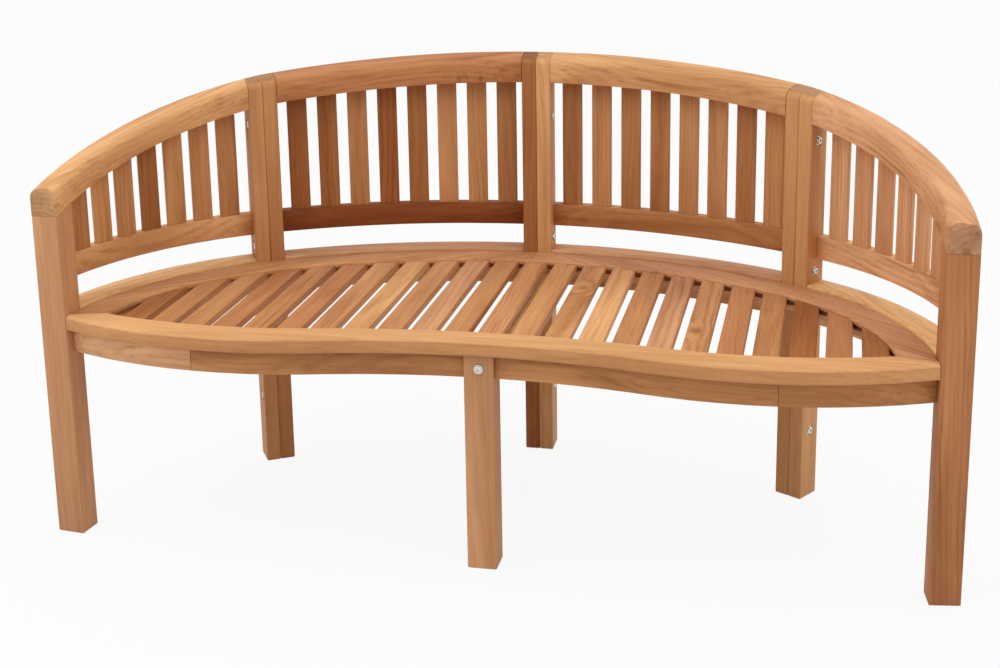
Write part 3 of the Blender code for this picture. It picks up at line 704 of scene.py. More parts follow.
@dataclass
class Bench:
    """Facts of the whole bench that the boards share.

    Attributes:
        back_line: Where the middle of the centre posts is, in Y.
        middle: Arc of the two back panels.
        arm: Arc of an arm panel.
    """

    back_line: float
    middle: PlanArc = field(init=False)
    arm: PlanArc = field(init=False)

    def __post_init__(self) -> None:
        """Places the arcs, which touch at the seam between back and arm."""
        centre = Vector((0.0, self.back_line - MIDDLE_RADIUS, 0.0))
        self.middle = PlanArc(centre, MIDDLE_RADIUS)
        reach = MIDDLE_RADIUS - ARM_RADIUS
        self.arm = PlanArc(PlanArc(centre, reach).at(SEAM_ANGLE), ARM_RADIUS)


@dataclass(frozen=True)
class Edges:
    """How the edges of a block or board are rounded.

    Attributes:
        width: How far the rounding reaches.
        segments: How many facets it has.
        shortest: Edges of a board shorter than this stay sharp.
        profile: How full it is.
        clamped: Whether it stops where it would run into another.
    """

    width: float
    segments: int = 2
    shortest: float = 0.006
    profile: float = 0.5
    clamped: bool = True


CRISP = Edges(0.0010)
EASED = Edges(0.0012)
ROUNDED = Edges(0.0018)
SEAT_EDGES = Edges(0.0026, 3, 0.012)
BACK_EDGES = Edges(0.0014, 3, 0.02)


def only(obj: bpy.types.Object) -> None:
    """Selects one object and makes it active.

    Args:
        obj: The object.
    """
    bpy.ops.object.select_all(action="DESELECT")
    bpy.context.view_layer.objects.active = obj
    obj.select_set(True)


def middle_of(obj: bpy.types.Object) -> Vector:
    """The middle of an object's box."""
    corners = [Vector(corner) for corner in obj.bound_box]
    return sum(corners, Vector()) / len(corners)


def bevel(obj: bpy.types.Object, edges: Edges, chosen: Callable[[bmesh.types.BMEdge], bool]) -> None:
    """Rounds some of an object's edges.

    Args:
        obj: The object.
        edges: How they are rounded.
        chosen: Whether an edge is one of them.
    """
    only(obj)
    bpy.ops.object.mode_set(mode="EDIT")
    bpy.ops.mesh.select_mode(type="EDGE")
    bpy.ops.mesh.select_all(action="DESELECT")
    for edge in bmesh.from_edit_mesh(obj.data).edges:
        edge.select_set(chosen(edge))
    bmesh.update_edit_mesh(obj.data)
    bpy.ops.mesh.bevel(
        offset=edges.width, segments=edges.segments, profile=edges.profile, clamp_overlap=edges.clamped
    )
    bpy.ops.object.mode_set(mode="OBJECT")


def soften(obj: bpy.types.Object, edges: Edges) -> None:
    """Rounds the outer edges of a board.

    Args:
        obj: The board.
        edges: How they are rounded.
    """

    def outer(edge: bmesh.types.BMEdge) -> bool:
        """Whether an edge is long enough and turns outwards."""
        real = len(edge.link_faces) == 2 and edge.calc_length() > edges.shortest
        return real and edge.calc_face_angle_signed() > SHARP_TURN

    bevel(obj, edges, outer)


def plane_underside(obj: bpy.types.Object) -> None:
    """Planes the underside of a board up to the underside of its tongues.

    Args:
        obj: The board.
    """
    heights = [vertex.co.z for vertex in obj.data.vertices]
    low = min(heights)
    tongue = min(height for height in heights if height > low + SAME_HEIGHT)
    for vertex in obj.data.vertices:
        if vertex.co.z < low + SAME_HEIGHT:
            vertex.co.z = tongue


def settle(obj: bpy.types.Object, smooth: float = 30.0) -> None:
    """Shades a finished board, smooth but for its real edges.

    Args:
        obj: The board.
        smooth: Turns below this many degrees are shaded as one surface.
    """
    only(obj)
    bpy.ops.object.shade_smooth_by_angle(angle=math.radians(smooth))
    bpy.ops.object.select_all(action="DESELECT")


@dataclass
class Joiner:
    """Dresses CAD boards and new boards in teak, and puts them on the bench.

    Attributes:
        teak: The teak.
        count: How many boards are done.
    """

    teak: TeakFinish = field(default_factory=TeakFinish)
    count: int = 0

    def finish(self, obj: bpy.types.Object, board: Board, slot: Slot) -> None:
        """Gives a board its teak, and lets it ride with the bench.

        Args:
            obj: The board's object.
            board: What it is cut from.
            slot: Not used.
        """
        obj.data.materials.clear()
        obj.data.materials.append(self.teak.material(f"teak_{obj.name}", board, middle_of(obj)))
        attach(obj, BODY)
        self.count += 1
        log.info("%s: %s, %d faces", obj.name, board.tone.name.lower(), len(obj.data.polygons))

    def dress(
        self, node: str, board: Board, slot: Slot, edges: Edges | None = None, planed: bool = False
    ) -> None:
        """Puts a board in the place of a CAD node.

        Args:
            node: The CAD node.
            board: What it is cut from.
            slot: The record's material slot.
            edges: How its edges are rounded, or None where they stay as the node has them.
            planed: Whether its underside is planed up to its tongues.
        """
        obj = bpy.data.objects.new(f"{node}_board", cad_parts[node].data.copy())
        bpy.context.scene.collection.objects.link(obj)
        if planed:
            plane_underside(obj)
        only(obj)
        bpy.ops.object.mode_set(mode="EDIT")
        bpy.ops.mesh.select_all(action="SELECT")
        bpy.ops.mesh.remove_doubles(threshold=SAME_POINT)
        bpy.ops.mesh.dissolve_limited(angle_limit=SAME_PLANE)
        bpy.ops.object.mode_set(mode="OBJECT")
        if edges:
            soften(obj, edges)
        settle(obj)
        self.finish(obj, board, slot)
        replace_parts(obj, node)


CALM = Grain(rings=0.10, streaks=0.28, lines=0.20, veins=0.24, drift=0.14)
STRIPED = Grain(rings=0.20, streaks=0.36, lines=0.36, veins=0.50, drift=0.24)
FIGURED = Grain(rings=0.46, streaks=0.26, lines=0.24, veins=0.46, drift=0.30, ring_scale=24.0)


@dataclass(frozen=True)
class Posts:
    """The front posts, the front leg and the paired half posts of the back, left before right.

    Attributes:
        front: Tones of the front posts.
        front_grains: Grain of the front posts.
        leg: Tone of the front leg.
        centre: Tones of the half posts at the middle of the back.
        inner: Tones of the corner posts on the back's side.
        outer: Tones of the corner posts on the arm's side.
    """

    front: tuple[Tone, Tone] = (Tone.ROSE, Tone.CLAY)
    front_grains: tuple[Grain, Grain] = (CALM, STRIPED)
    leg: Tone = Tone.ROSE
    centre: tuple[Tone, Tone] = (Tone.BROWN, Tone.HONEY)
    inner: tuple[Tone, Tone] = (Tone.WARM, Tone.TAN)
    outer: tuple[Tone, Tone] = (Tone.TAN, Tone.HONEY)

    def build(self, joiner: Joiner) -> None:
        """Dresses every post.

        Args:
            joiner: Who dresses the boards.
        """
        for index, (side, sign) in enumerate(SIDES.items()):
            rows = (
                (f"front_post_{side}", self.front[index], ARM_END_ANGLE, self.front_grains[index], ROUNDED),
                (f"centre_post_{side}", self.centre[index], 0.0, STRIPED, None),
                (f"corner_post_inner_{side}", self.inner[index], SEAM_ANGLE, CALM, None),
                (f"corner_post_outer_{side}", self.outer[index], SEAM_ANGLE, CALM, None),
            )
            for node, tone, angle, grain, edges in rows:
                joiner.dress(node, Board(tone, Axis.UPRIGHT, -sign * angle, grain=grain), Slot.POSTS, edges)
        joiner.dress("front_leg", Board(self.leg, Axis.UPRIGHT, grain=CALM), Slot.POSTS)


@dataclass(frozen=True)
class BackRails:
    """The rails of the back and arms: crest, slat rail and base rail of each panel.

    Attributes:
        crests: Tones of the crest rails, back and arm, on the left and on the right.
        slat_rails: Tones of the slat rails, in the same order.
        bases: Tones of the base rails, in the same order.
        knots: Knots of the left crest rail of the back.
        middle_angle: Way of the grain in the back, from the bench's length.
        arm_angle: Way of the grain in the arms.
        back_slope: Fall of the crest's grain in the back.
        arm_slope: Fall of the crest's grain in the arms.
    """

    crests: tuple[tuple[Tone, Tone], ...] = ((Tone.CLAY, Tone.HONEY), (Tone.HONEY, Tone.BLUSH))
    slat_rails: tuple[tuple[Tone, Tone], ...] = ((Tone.UMBER, Tone.HONEY), (Tone.WARM, Tone.SHELL))
    bases: tuple[tuple[Tone, Tone], ...] = ((Tone.ROSE, Tone.STRAW), (Tone.ROSE, Tone.STRAW))
    knots: tuple[Knot, ...] = (
        Knot((-0.150, 0.262, 0.769), 0.0024, 0.34),
        Knot((-0.134, 0.264, 0.771), 0.0018, 0.30),
        Knot((-0.108, 0.267, 0.768), 0.0028, 0.42),
        Knot((-0.080, 0.270, 0.773), 0.0020, 0.32),
    )
    middle_angle: float = SEAM_ANGLE / 2
    arm_angle: float = (SEAM_ANGLE + ARM_END_ANGLE) / 2
    back_slope: float = 0.060
    arm_slope: float = 0.270

    def build(self, joiner: Joiner) -> None:
        """Dresses every rail of the back and arms.

        Args:
            joiner: Who dresses the boards.
        """
        parts = (("back", self.middle_angle, self.back_slope), ("arm", self.arm_angle, self.arm_slope))
        for hand, (side, sign) in enumerate(SIDES.items()):
            for index, (part, angle, slope) in enumerate(parts):
                yaw = -sign * angle
                knots = self.knots if (part, side) == ("back", "left") else ()
                crest = Board(
                    self.crests[hand][index],
                    yaw=yaw,
                    pitch=sign * slope,
                    sawn=Sawn.FLAT,
                    grain=STRIPED,
                    knots=knots,
                )
                joiner.dress(f"{part}_top_rail_{side}", crest, Slot.RAILS, CRISP)
                slat_rail = Board(self.slat_rails[hand][index], yaw=yaw, grain=STRIPED)
                joiner.dress(f"{part}_slat_rail_{side}", slat_rail, Slot.RAILS, EASED)
                base = Board(self.bases[hand][index], yaw=yaw)
                joiner.dress(f"{part}_base_rail_{side}", base, Slot.RAILS, EASED)


@dataclass(frozen=True)
class Station:
    """A line through a panel from face to face, where a slat or a gap begins or ends.

    Attributes:
        inner: Its point on the inner face.
        outer: Its point on the outer face.
        levels: Heights of the panel's corners there, from the bottom.
    """

    inner: Vector
    outer: Vector
    levels: tuple[float, ...]

    def middle(self) -> Vector:
        """The point halfway through the panel."""
        return (self.inner + self.outer) / 2

    def widened(self, room: Vector) -> "Station":
        """The same line, longer by some room at both ends."""
        return Station(self.inner - room, self.outer + room, self.levels)


@dataclass(frozen=True)
class SlatPanel:
    """The upright slats of one panel, housed in grooves above and below.

    Attributes:
        node: The CAD comb that they stand for.
        arm: Whether the panel is in an arm.
        sign: Which side of the bench it is on.
        tones: Colours of the slats, from the middle of the bench outwards.
        grains: Grain of single slats, by number from the middle.
        rail_tones: Colours of the strips that fill the grooves, above and below.
        cuts: How the slats are sawn, in turn.
        same_station: Points closer than this along the arc, as an angle, are one station.
        same_level: Points closer than this in height are one level.
        side_room: How much wider the strips are than the comb, on each side.
        spare: How much longer a strip is before its ends are sawn.
    """

    node: str
    arm: bool
    sign: int
    tones: tuple[Tone, ...]
    grains: dict[int, Grain]
    rail_tones: tuple[Tone, Tone]
    cuts: tuple[Sawn, ...] = (Sawn.RIFT, Sawn.FLAT, Sawn.QUARTER)
    same_station: float = 0.006
    same_level: float = 0.003
    side_room: float = 0.0004
    spare: float = 0.02

    def station(self, arc: PlanArc, points: list[Vector]) -> Station:
        """The station that a few of the comb's points stand on.

        Args:
            arc: The panel's arc.
            points: The points.

        Returns:
            The station.
        """
        centre = Vector((self.sign * arc.centre.x, arc.centre.y, 0.0))

        def reach(point: Vector) -> float:
            """How far a point is from the arc's centre, in plan."""
            return (point - centre).to_2d().length

        levels: list[float] = []
        for height in sorted(point.z for point in points):
            if not levels or height - levels[-1] > self.same_level:
                levels.append(height)
        return Station(min(points, key=reach), max(points, key=reach), tuple(levels))

    def stations(self, arc: PlanArc) -> list[Station]:
        """The comb's stations.

        Args:
            arc: The panel's arc.

        Returns:
            The stations, from the middle of the bench outwards.
        """
        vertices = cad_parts[self.node].data.vertices
        points = sorted((vertex.co.copy() for vertex in vertices), key=arc.angle)
        groups = [[points[0]]]
        for point in points[1:]:
            if arc.angle(point) - arc.angle(groups[-1][0]) > self.same_station:
                groups.append([])
            groups[-1].append(point)
        return [self.station(arc, group) for group in groups]

    def plank(
        self, name: str, near: Station, far: Station, low: float, high: float, spare: float = 0.0
    ) -> bpy.types.Object:
        """A board between two stations, before its ends are cut.

        Args:
            name: Its name.
            near: The station at its near side.
            far: The station at its far side.
            low: Its lowest height.
            high: Its highest height.
            spare: How much longer it is than the distance between the stations.

        Returns:
            The board.
        """
        run = (far.middle() - near.middle()).to_2d()
        through = (near.outer - near.inner + far.outer - far.inner).to_2d().length / 2
        middle = (near.middle() + far.middle()) / 2
        bpy.ops.object.select_all(action="DESELECT")
        bpy.ops.mesh.primitive_cube_add(
            size=1.0,
            location=(middle.x, middle.y, (low + high) / 2),
            rotation=(0.0, 0.0, math.atan2(run.y, run.x)),
            scale=(run.length + spare, through, high - low),
        )
        obj = bpy.context.active_object
        obj.name = obj.data.name = name
        bpy.ops.object.transform_apply(location=True, rotation=True, scale=True)
        return obj

    def cut(self, obj: bpy.types.Object, spot: Vector, outwards: Vector) -> None:
        """Saws a board flat and takes the far piece off.

        Args:
            obj: The board.
            spot: A point of the cut.
            outwards: The side that goes.
        """
        only(obj)
        bpy.ops.object.mode_set(mode="EDIT")
        bpy.ops.mesh.select_all(action="SELECT")
        bpy.ops.mesh.bisect(plane_co=spot, plane_no=outwards, use_fill=True, clear_outer=True)
        bpy.ops.mesh.select_all(action="SELECT")
        bpy.ops.mesh.normals_make_consistent(inside=False)
        bpy.ops.object.mode_set(mode="OBJECT")

    def slope(
        self, obj: bpy.types.Object, near: Station, far: Station, heights: tuple[float, float], up: int
    ) -> None:
        """Saws a board's top or foot along the line between two heights.

        Args:
            obj: The board.
            near: The station at its near side.
            far: The station at its far side.
            heights: Height of the cut at the near side and at the far side.
            up: 1 for the top, -1 for the foot.
        """
        if abs(heights[0] - heights[1]) < LEVEL_CUT:
            return
        start, end = near.middle(), far.middle()
        start.z, end.z = heights
        across = (near.outer - near.inner).to_2d().to_3d()
        normal = (end - start).cross(across).normalized()
        self.cut(obj, start, normal if normal.z * up > 0 else -normal)

    def build(self, joiner: Joiner, bench: Bench) -> None:
        """Makes the panel's slats and the strips between them.

        Args:
            joiner: Who dresses the boards.
            bench: Facts of the bench.
        """
        arc = bench.arm if self.arm else bench.middle
        stations = self.stations(arc)
        first: bpy.types.Object | None = None
        label = self.node.replace("slats", "slat")
        for number, tone in enumerate(self.tones):
            near, far = stations[2 * number + 1 : 2 * number + 3]
            tops = (near.levels[-1], far.levels[-1])
            obj = self.plank(f"{label}_{number + 1}", near, far, near.levels[0], max(tops))
            self.slope(obj, near, far, tops, 1)
            soften(obj, BACK_EDGES)
            settle(obj)
            yaw = -self.sign * arc.angle((near.inner + far.inner) / 2)
            sawn = self.cuts[number % len(self.cuts)]
            board = Board(tone, Axis.UPRIGHT, yaw, sawn=sawn, grain=self.grains.get(number, Grain()))
            joiner.finish(obj, board, Slot.BACK_SLATS)
            first = first or obj
        for gap in range(0, len(stations), 2):
            label_here = f"{label}_strip_{gap // 2 + 1}"
            self.strips(joiner, arc, label_here, stations[gap], stations[gap + 1])
        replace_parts(first, self.node)

    def strips(self, joiner: Joiner, arc: PlanArc, label: str, near: Station, far: Station) -> None:
        """Makes the two strips that fill the grooves between two slats.

        Args:
            joiner: Who dresses the boards.
            arc: The panel's arc.
            label: Start of their names.
            near: The station at their near side.
            far: The station at their far side.
        """
        room = (near.outer - near.inner).normalized() * self.side_room
        wide_near, wide_far = near.widened(room), far.widened(room)
        yaw = -self.sign * arc.angle((near.inner + far.inner) / 2)
        run = (far.inner - near.inner).to_2d().to_3d().normalized()
        above, below = self.rail_tones
        for part, foot, top, tone in (("low", 0, 1, below), ("high", -2, -1, above)):
            lows = (near.levels[foot], far.levels[foot])
            highs = (near.levels[top], far.levels[top])
            obj = self.plank(f"{label}_{part}", wide_near, wide_far, min(lows), max(highs), self.spare)
            self.slope(obj, wide_near, wide_far, highs, 1)
            self.slope(obj, wide_near, wide_far, lows, -1)
            for end, way in ((near, -1), (far, 1)):
                side = (end.outer - end.inner).to_2d()
                outwards = Vector((side.y, -side.x, 0.0)).normalized()
                outwards *= way if outwards.dot(run) > 0 else -way
                self.cut(obj, end.inner, outwards)
            settle(obj)
            joiner.finish(obj, Board(tone, yaw=yaw), Slot.BACK_SLATS)


@dataclass(frozen=True)
class Seat:
    """The seat's slats, its frame, the apron under its front and the brace.

    Attributes:
        tones: Colours of the slats from left to right.
        grains: Grain of single slats, by number.
        knots: Knots of single slats, by number.
        cuts: How the slats are sawn, in turn.
        front: Tone of the front rail.
        front_side_shade: Share of the front rail's colour that is left on its sides, as painted shade below
            its lit top.
        back_rails: Tones of the back rails, left and right.
        inner_aprons: Tones of the inner aprons, left and right.
        outer_aprons: Tones of the outer aprons, left and right.
        brace: Tone of the brace.
        back_yaw: Way of the grain in the back rails, from the bench's length.
        apron_yaw: Way of the grain in the aprons.
    """

    tones: tuple[Tone, ...]
    grains: dict[int, Grain]
    knots: dict[int, tuple[Knot, ...]]
    cuts: tuple[Sawn, ...] = (Sawn.FLAT, Sawn.RIFT, Sawn.FLAT, Sawn.QUARTER)
    front: Tone = Tone.HONEY
    front_side_shade: Triple = (0.85, 0.77, 0.73)
    back_rails: tuple[Tone, Tone] = (Tone.TAN, Tone.ROSE)
    inner_aprons: tuple[Tone, Tone] = (Tone.WARM, Tone.WARM)
    outer_aprons: tuple[Tone, Tone] = (Tone.SHELL, Tone.WARM)
    brace: Tone = Tone.STRAW
    back_yaw: float = math.radians(38.0)
    apron_yaw: float = math.radians(4.0)

    def build(self, joiner: Joiner) -> None:
        """Dresses the seat.

        Args:
            joiner: Who dresses the boards.
        """
        for number, tone in enumerate(self.tones, 1):
            board = Board(
                tone,
                Axis.ALONG_Y,
                sawn=self.cuts[number % len(self.cuts)],
                grain=self.grains.get(number, Grain()),
                knots=self.knots.get(number, ()),
            )
            joiner.dress(f"seat_slat_{number:02d}", board, Slot.SEAT_SLATS, SEAT_EDGES, planed=True)
        # The front rail's sides are darkened with painted shade below its lit top.
        front = Board(self.front, grain=CALM, edge=self.front_side_shade)
        joiner.dress("seat_front_rail", front, Slot.FRONT_RAIL, EASED)
        rows = (
            ("seat_back_rail", self.back_rails, -self.back_yaw),
            ("apron_inner", self.inner_aprons, -self.apron_yaw),
            ("apron_outer", self.outer_aprons, self.apron_yaw),
        )
        for hand, (side, sign) in enumerate(SIDES.items()):
            for part, tones, yaw in rows:
                board = Board(tones[hand], yaw=sign * yaw, grain=STRIPED)
                joiner.dress(f"{part}_{side}", board, Slot.RAILS, CRISP)
        joiner.dress("seat_brace", Board(self.brace, Axis.ALONG_Y), Slot.RAILS, EASED)


@dataclass(frozen=True)
class Bolt:
    """A dome-headed bolt with a hexagon socket, its washer, and for a pair of posts its sleeve nut.

    Attributes:
        head_radius: Radius of the dome.
        head_height: Height of the dome.
        head_edge: Rounding of the dome.
        washer_radius: Radius of the washer.
        washer_height: Its thickness.
        washer_edge: Its rounding.
        shank_radius: Radius of the shank.
        shank_grip: How far the shank goes into the head and the nut.
        socket_radius: Radius of the hexagon, corner to corner.
        socket_depth: Its depth.
        nut_height: Height of the sleeve nut's cap.
        nut_edge: Rounding of that cap.
        socket_rim: Share of its radius within which faces are its own.
        lip: How far below the top its floor and walls begin.
        sides: Facets round the head.
        smooth: Turns below this many degrees are shaded as one surface.
    """

    head_radius: float = 0.0070
    head_height: float = 0.0036
    head_edge: Edges = Edges(0.0026, 5, profile=0.55, clamped=False)
    washer_radius: float = 0.0086
    washer_height: float = 0.0010
    washer_edge: Edges = Edges(0.0004, 2, profile=0.55, clamped=False)
    shank_radius: float = 0.0036
    shank_grip: float = 0.0002
    socket_radius: float = 0.0033
    socket_depth: float = 0.0034
    nut_height: float = 0.0014
    nut_edge: Edges = Edges(0.0008, 3, profile=0.55, clamped=False)
    socket_rim: float = 0.99
    lip: float = 0.0001
    sides: int = 32
    smooth: float = 40.0

    def disc(self, radius: float, low: float, height: float, sides: int) -> bpy.types.Object:
        """A round or many-sided block that stands on a height.

        Args:
            radius: Its radius.
            low: Height of its foot.
            height: Its own height.
            sides: How many sides it has.

        Returns:
            The block.
        """
        bpy.ops.object.select_all(action="DESELECT")
        bpy.ops.mesh.primitive_cylinder_add(vertices=sides, radius=radius, depth=height)
        obj = bpy.context.active_object
        obj.data.transform(Matrix.Translation((0.0, 0.0, low + height / 2)))
        return obj

    def rounded_top(self, obj: bpy.types.Object, edges: Edges) -> None:
        """Rounds the rim of a block's top.

        Args:
            obj: The block.
            edges: How it is rounded.
        """
        top = max(vertex.co.z for vertex in obj.data.vertices)
        bevel(obj, edges, lambda edge: all(abs(vertex.co.z - top) < SAME_RIM for vertex in edge.verts))

    def head(self) -> bpy.types.Object:
        """The head on its washer, looking up from the origin.

        Returns:
            The head.
        """
        washer = self.disc(self.washer_radius, 0.0, self.washer_height, self.sides)
        self.rounded_top(washer, self.washer_edge)
        head = self.disc(self.head_radius, self.washer_height, self.head_height, self.sides)
        self.rounded_top(head, self.head_edge)
        self.socket(head, self.washer_height + self.head_height)
        return self.joined([head, washer])

    def socket(self, obj: bpy.types.Object, top: float) -> None:
        """Sinks the hexagon for the key, and gives its walls and floor the second material.

        Args:
            obj: The head or nut.
            top: Height of its top.
        """
        obj.data.materials.append(None)
        obj.data.materials.append(None)
        key = self.disc(self.socket_radius, top - self.socket_depth, self.socket_depth * 2, 6)
        cut = obj.modifiers.new("socket", "BOOLEAN")
        cut.operation = "DIFFERENCE"
        cut.solver = "EXACT"
        cut.object = key
        only(obj)
        bpy.ops.object.modifier_apply(modifier=cut.name)
        bpy.data.objects.remove(key)
        # Painted shade: the walls and floor of the hollow take the dark second material, which stands in for
        # the shadow in the socket.
        for face in obj.data.polygons:
            inside = face.center.to_2d().length < self.socket_radius * self.socket_rim
            face.material_index = 1 if inside and face.center.z < top - self.lip else 0

    def joined(self, objects: list[bpy.types.Object]) -> bpy.types.Object:
        """Several blocks as one object.

        Args:
            objects: The blocks.

        Returns:
            The first, with the others in it.
        """
        only(objects[0])
        for obj in objects[1:]:
            obj.select_set(True)
        bpy.ops.object.join()
        return bpy.context.active_object

    def sleeve_nut(self) -> bpy.types.Object:
        """The low cap of the nut at the far end, looking up from the origin.

        Returns:
            The cap.
        """
        cap = self.disc(self.head_radius, 0.0, self.nut_height, self.sides)
        self.rounded_top(cap, self.nut_edge)
        self.socket(cap, self.nut_height)
        return cap

    def mesh(self, length: float, double: bool) -> bpy.types.Mesh:
        """The whole bolt along Z, its middle at the origin.

        Args:
            length: Distance between the faces that its head and nut lie on.
            double: Whether it has a sleeve nut at the far end.

        Returns:
            The mesh.
        """
        near = self.head()
        near.data.transform(Matrix.Translation((0.0, 0.0, length / 2)))
        blocks = [near]
        if double:
            far = self.sleeve_nut()
            far.data.transform(Matrix.Translation((0.0, 0.0, length / 2)))
            far.data.transform(Matrix.Rotation(math.pi, 4, "X"))
            blocks.append(far)
        foot = -length / 2 - self.shank_grip
        shank = self.disc(self.shank_radius, foot, length + 2 * self.shank_grip, self.sides // 2)
        whole = self.joined([*blocks, shank])
        settle(whole, self.smooth)
        made = whole.data
        bpy.data.objects.remove(whole)
        return made


@dataclass(frozen=True)
class Bolts:
    """The bolts that hold the paired posts, and the one through the front leg.

    Attributes:
        bolt: Sizes of a bolt.
        finish: Its steel.
        shade: The dark steel inside its socket, painted shade for the hollow.
        pair_length: Thickness of a pair of posts.
        leg_length: How deep the leg's bolt goes in.
        nodes: The CAD nodes that give the three heights in a pair of posts.
    """

    bolt: Bolt = Bolt()
    finish: SteelFinish = SteelFinish()
    # Painted shade: a dark grey steel stands in for the shadow inside the sockets.
    shade: SteelFinish = SteelFinish((96, 92, 86))
    pair_length: float = 0.0524
    leg_length: float = 0.0440
    nodes: tuple[tuple[str, str], ...] = (
        ("foot", "corner_bolt_foot_right"),
        ("middle", "corner_bolt_middle_right"),
        ("top", "corner_bolt_top_right"),
    )

    def place(
        self, name: str, mesh: bpy.types.Mesh, matrix: Matrix, steel: list[bpy.types.Material]
    ) -> bpy.types.Object:
        """One bolt in its hole.

        Args:
            name: Its name.
            mesh: The bolt's mesh.
            matrix: Where it goes.
            steel: Its finish, and the painted shade of its socket.

        Returns:
            The bolt.
        """
        data = mesh.copy()
        data.transform(matrix)
        obj = bpy.data.objects.new(name, data)
        bpy.context.scene.collection.objects.link(obj)
        data.materials.clear()
        for finish in steel:
            data.materials.append(finish)
        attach(obj, BODY)
        log.info("%s: steel", name)
        return obj

    def build(self, bench: Bench) -> None:
        """Puts in every bolt.

        Args:
            bench: Facts of the bench.
        """
        steel = [self.finish.material("stainless_steel"), self.shade.material("socket_painted_shade")]
        pair = self.bolt.mesh(self.pair_length, True)
        for seam, angle in (("left", -SEAM_ANGLE), ("centre", 0.0), ("right", SEAM_ANGLE)):
            spot = bench.middle.at(angle)
            lie = Matrix.Rotation(-angle, 4, "Z") @ Matrix.Rotation(math.pi / 2, 4, "Y")
            for level, node in self.nodes:
                low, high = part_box(node)
                matrix = Matrix.Translation((spot.x, spot.y, (low.z + high.z) / 2)) @ lie
                obj = self.place(f"bolt_{seam}_{level}", pair, matrix, steel)
                if seam == "right":
                    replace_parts(obj, node)
        low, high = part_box("leg_bolt")
        leg_low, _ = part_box("front_leg")
        single = self.bolt.mesh(self.leg_length, False)
        spot = Vector(((low.x + high.x) / 2, leg_low.y + self.leg_length / 2, (low.z + high.z) / 2))
        matrix = Matrix.Translation(spot) @ Matrix.Rotation(math.pi / 2, 4, "X")
        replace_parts(self.place("bolt_leg", single, matrix, steel), "leg_bolt")


@dataclass(frozen=True)
class Lamp:
    """A soft square lamp that looks at the back of the seat.

    Attributes:
        name: Its name.
        spot: Where it hangs.
        power: Its power in watts.
        size: Width of its panel.
        aim: Where it looks.
    """

    name: str
    spot: Triple
    power: float
    size: float = 2.4
    aim: Triple = (0.0, 0.0, 0.45)

    def build(self) -> None:
        """Hangs the lamp."""
        data = bpy.data.lights.new(self.name, "AREA")
        data.energy = self.power
        data.shape = "SQUARE"
        data.size = self.size
        obj = bpy.data.objects.new(self.name, data)
        bpy.context.scene.collection.objects.link(obj)
        obj.location = self.spot
        obj.rotation_euler = (Vector(self.aim) - obj.location).to_track_quat("-Z", "Y").to_euler()


@dataclass(frozen=True)
class Studio:
    """The pale floor, the white surround and the soft lamps.

    Attributes:
        floor_size: Width of the floor.
        floor_drop: How far it lies below the feet.
        floor_grey: Its colour.
        floor_rough: Its roughness.
        floor_gloss: Level of its sheen.
        floor_white: Share of plain white that the camera sees in it.
        horizon: Light of the surround at the horizon.
        overhead: Light of the surround straight above.
        lamps: The lamps.
    """

    floor_size: float = 80.0
    floor_drop: float = 0.0005
    floor_grey: float = 0.76
    floor_rough: float = 0.9
    floor_gloss: float = 0.1
    floor_white: float = 0.90
    horizon: float = 0.15
    overhead: float = 1.28
    lamps: tuple[Lamp, ...] = (
        Lamp("key_lamp", (-2.3, -1.6, 3.0), 34.0),
        Lamp("fill_lamp", (2.8, -1.3, 2.9), 26.0),
    )

    def floor(self) -> None:
        """Lays the floor."""
        bpy.ops.object.select_all(action="DESELECT")
        bpy.ops.mesh.primitive_grid_add(x_subdivisions=2, y_subdivisions=2, size=self.floor_size)
        obj = bpy.context.active_object
        obj.name = "studio_floor"
        obj.data.transform(Matrix.Translation((0.0, 0.0, -self.floor_drop)))
        material = bpy.data.materials.new("studio_floor")
        recipe = Recipe(material)
        recipe.shader.inputs["Base Color"].default_value = (*[self.floor_grey] * 3, 1.0)
        recipe.shader.inputs["Roughness"].default_value = self.floor_rough
        recipe.shader.inputs["Specular IOR Level"].default_value = self.floor_gloss
        glow = recipe.node("ShaderNodeEmission")
        glow.inputs["Color"].default_value = WHITE
        path = recipe.node("ShaderNodeLightPath")
        seen = recipe.maths("MAXIMUM", path.outputs["Is Camera Ray"], path.outputs["Is Glossy Ray"])
        mixed = recipe.node("ShaderNodeMixShader")
        recipe.feed(mixed.inputs[0], recipe.maths("MULTIPLY", seen, self.floor_white))
        recipe.feed(mixed.inputs[1], recipe.shader.outputs[0])
        recipe.feed(mixed.inputs[2], glow.outputs[0])
        recipe.feed(recipe.tree.nodes["Material Output"].inputs["Surface"], mixed.outputs[0])
        obj.data.materials.append(material)

    def world(self) -> None:
        """Sets the white surround, which shows as white and lights less."""
        world = bpy.data.worlds.new("studio")
        bpy.context.scene.world = world
        recipe = Recipe(world, "Background")
        path = recipe.node("ShaderNodeLightPath")
        seen: Socket = path.outputs["Is Camera Ray"]
        for way in ("Is Glossy Ray", "Is Transmission Ray"):
            seen = recipe.maths("MAXIMUM", seen, path.outputs[way])
        way_up = recipe.node("ShaderNodeSeparateXYZ")
        recipe.feed(way_up.inputs[0], recipe.node("ShaderNodeTexCoord").outputs["Generated"])
        light = recipe.node("ShaderNodeMapRange")
        for socket, value in zip(light.inputs, (way_up.outputs["Z"], 0.0, 1.0, self.horizon, self.overhead)):
            recipe.feed(socket, value)
        level = recipe.node("ShaderNodeMix")
        recipe.feed(level.inputs[0], seen)
        recipe.feed(level.inputs[2], light.outputs[0])
        recipe.feed(level.inputs[3], 1.0)
        recipe.shader.inputs["Color"].default_value = WHITE
        recipe.feed(recipe.shader.inputs["Strength"], level.outputs[0])

    def build(self) -> None:
        """Sets up the studio."""
        self.floor()
        self.world()
        for lamp in self.lamps:
            lamp.build()
        bpy.context.scene.view_settings.view_transform = "Standard"


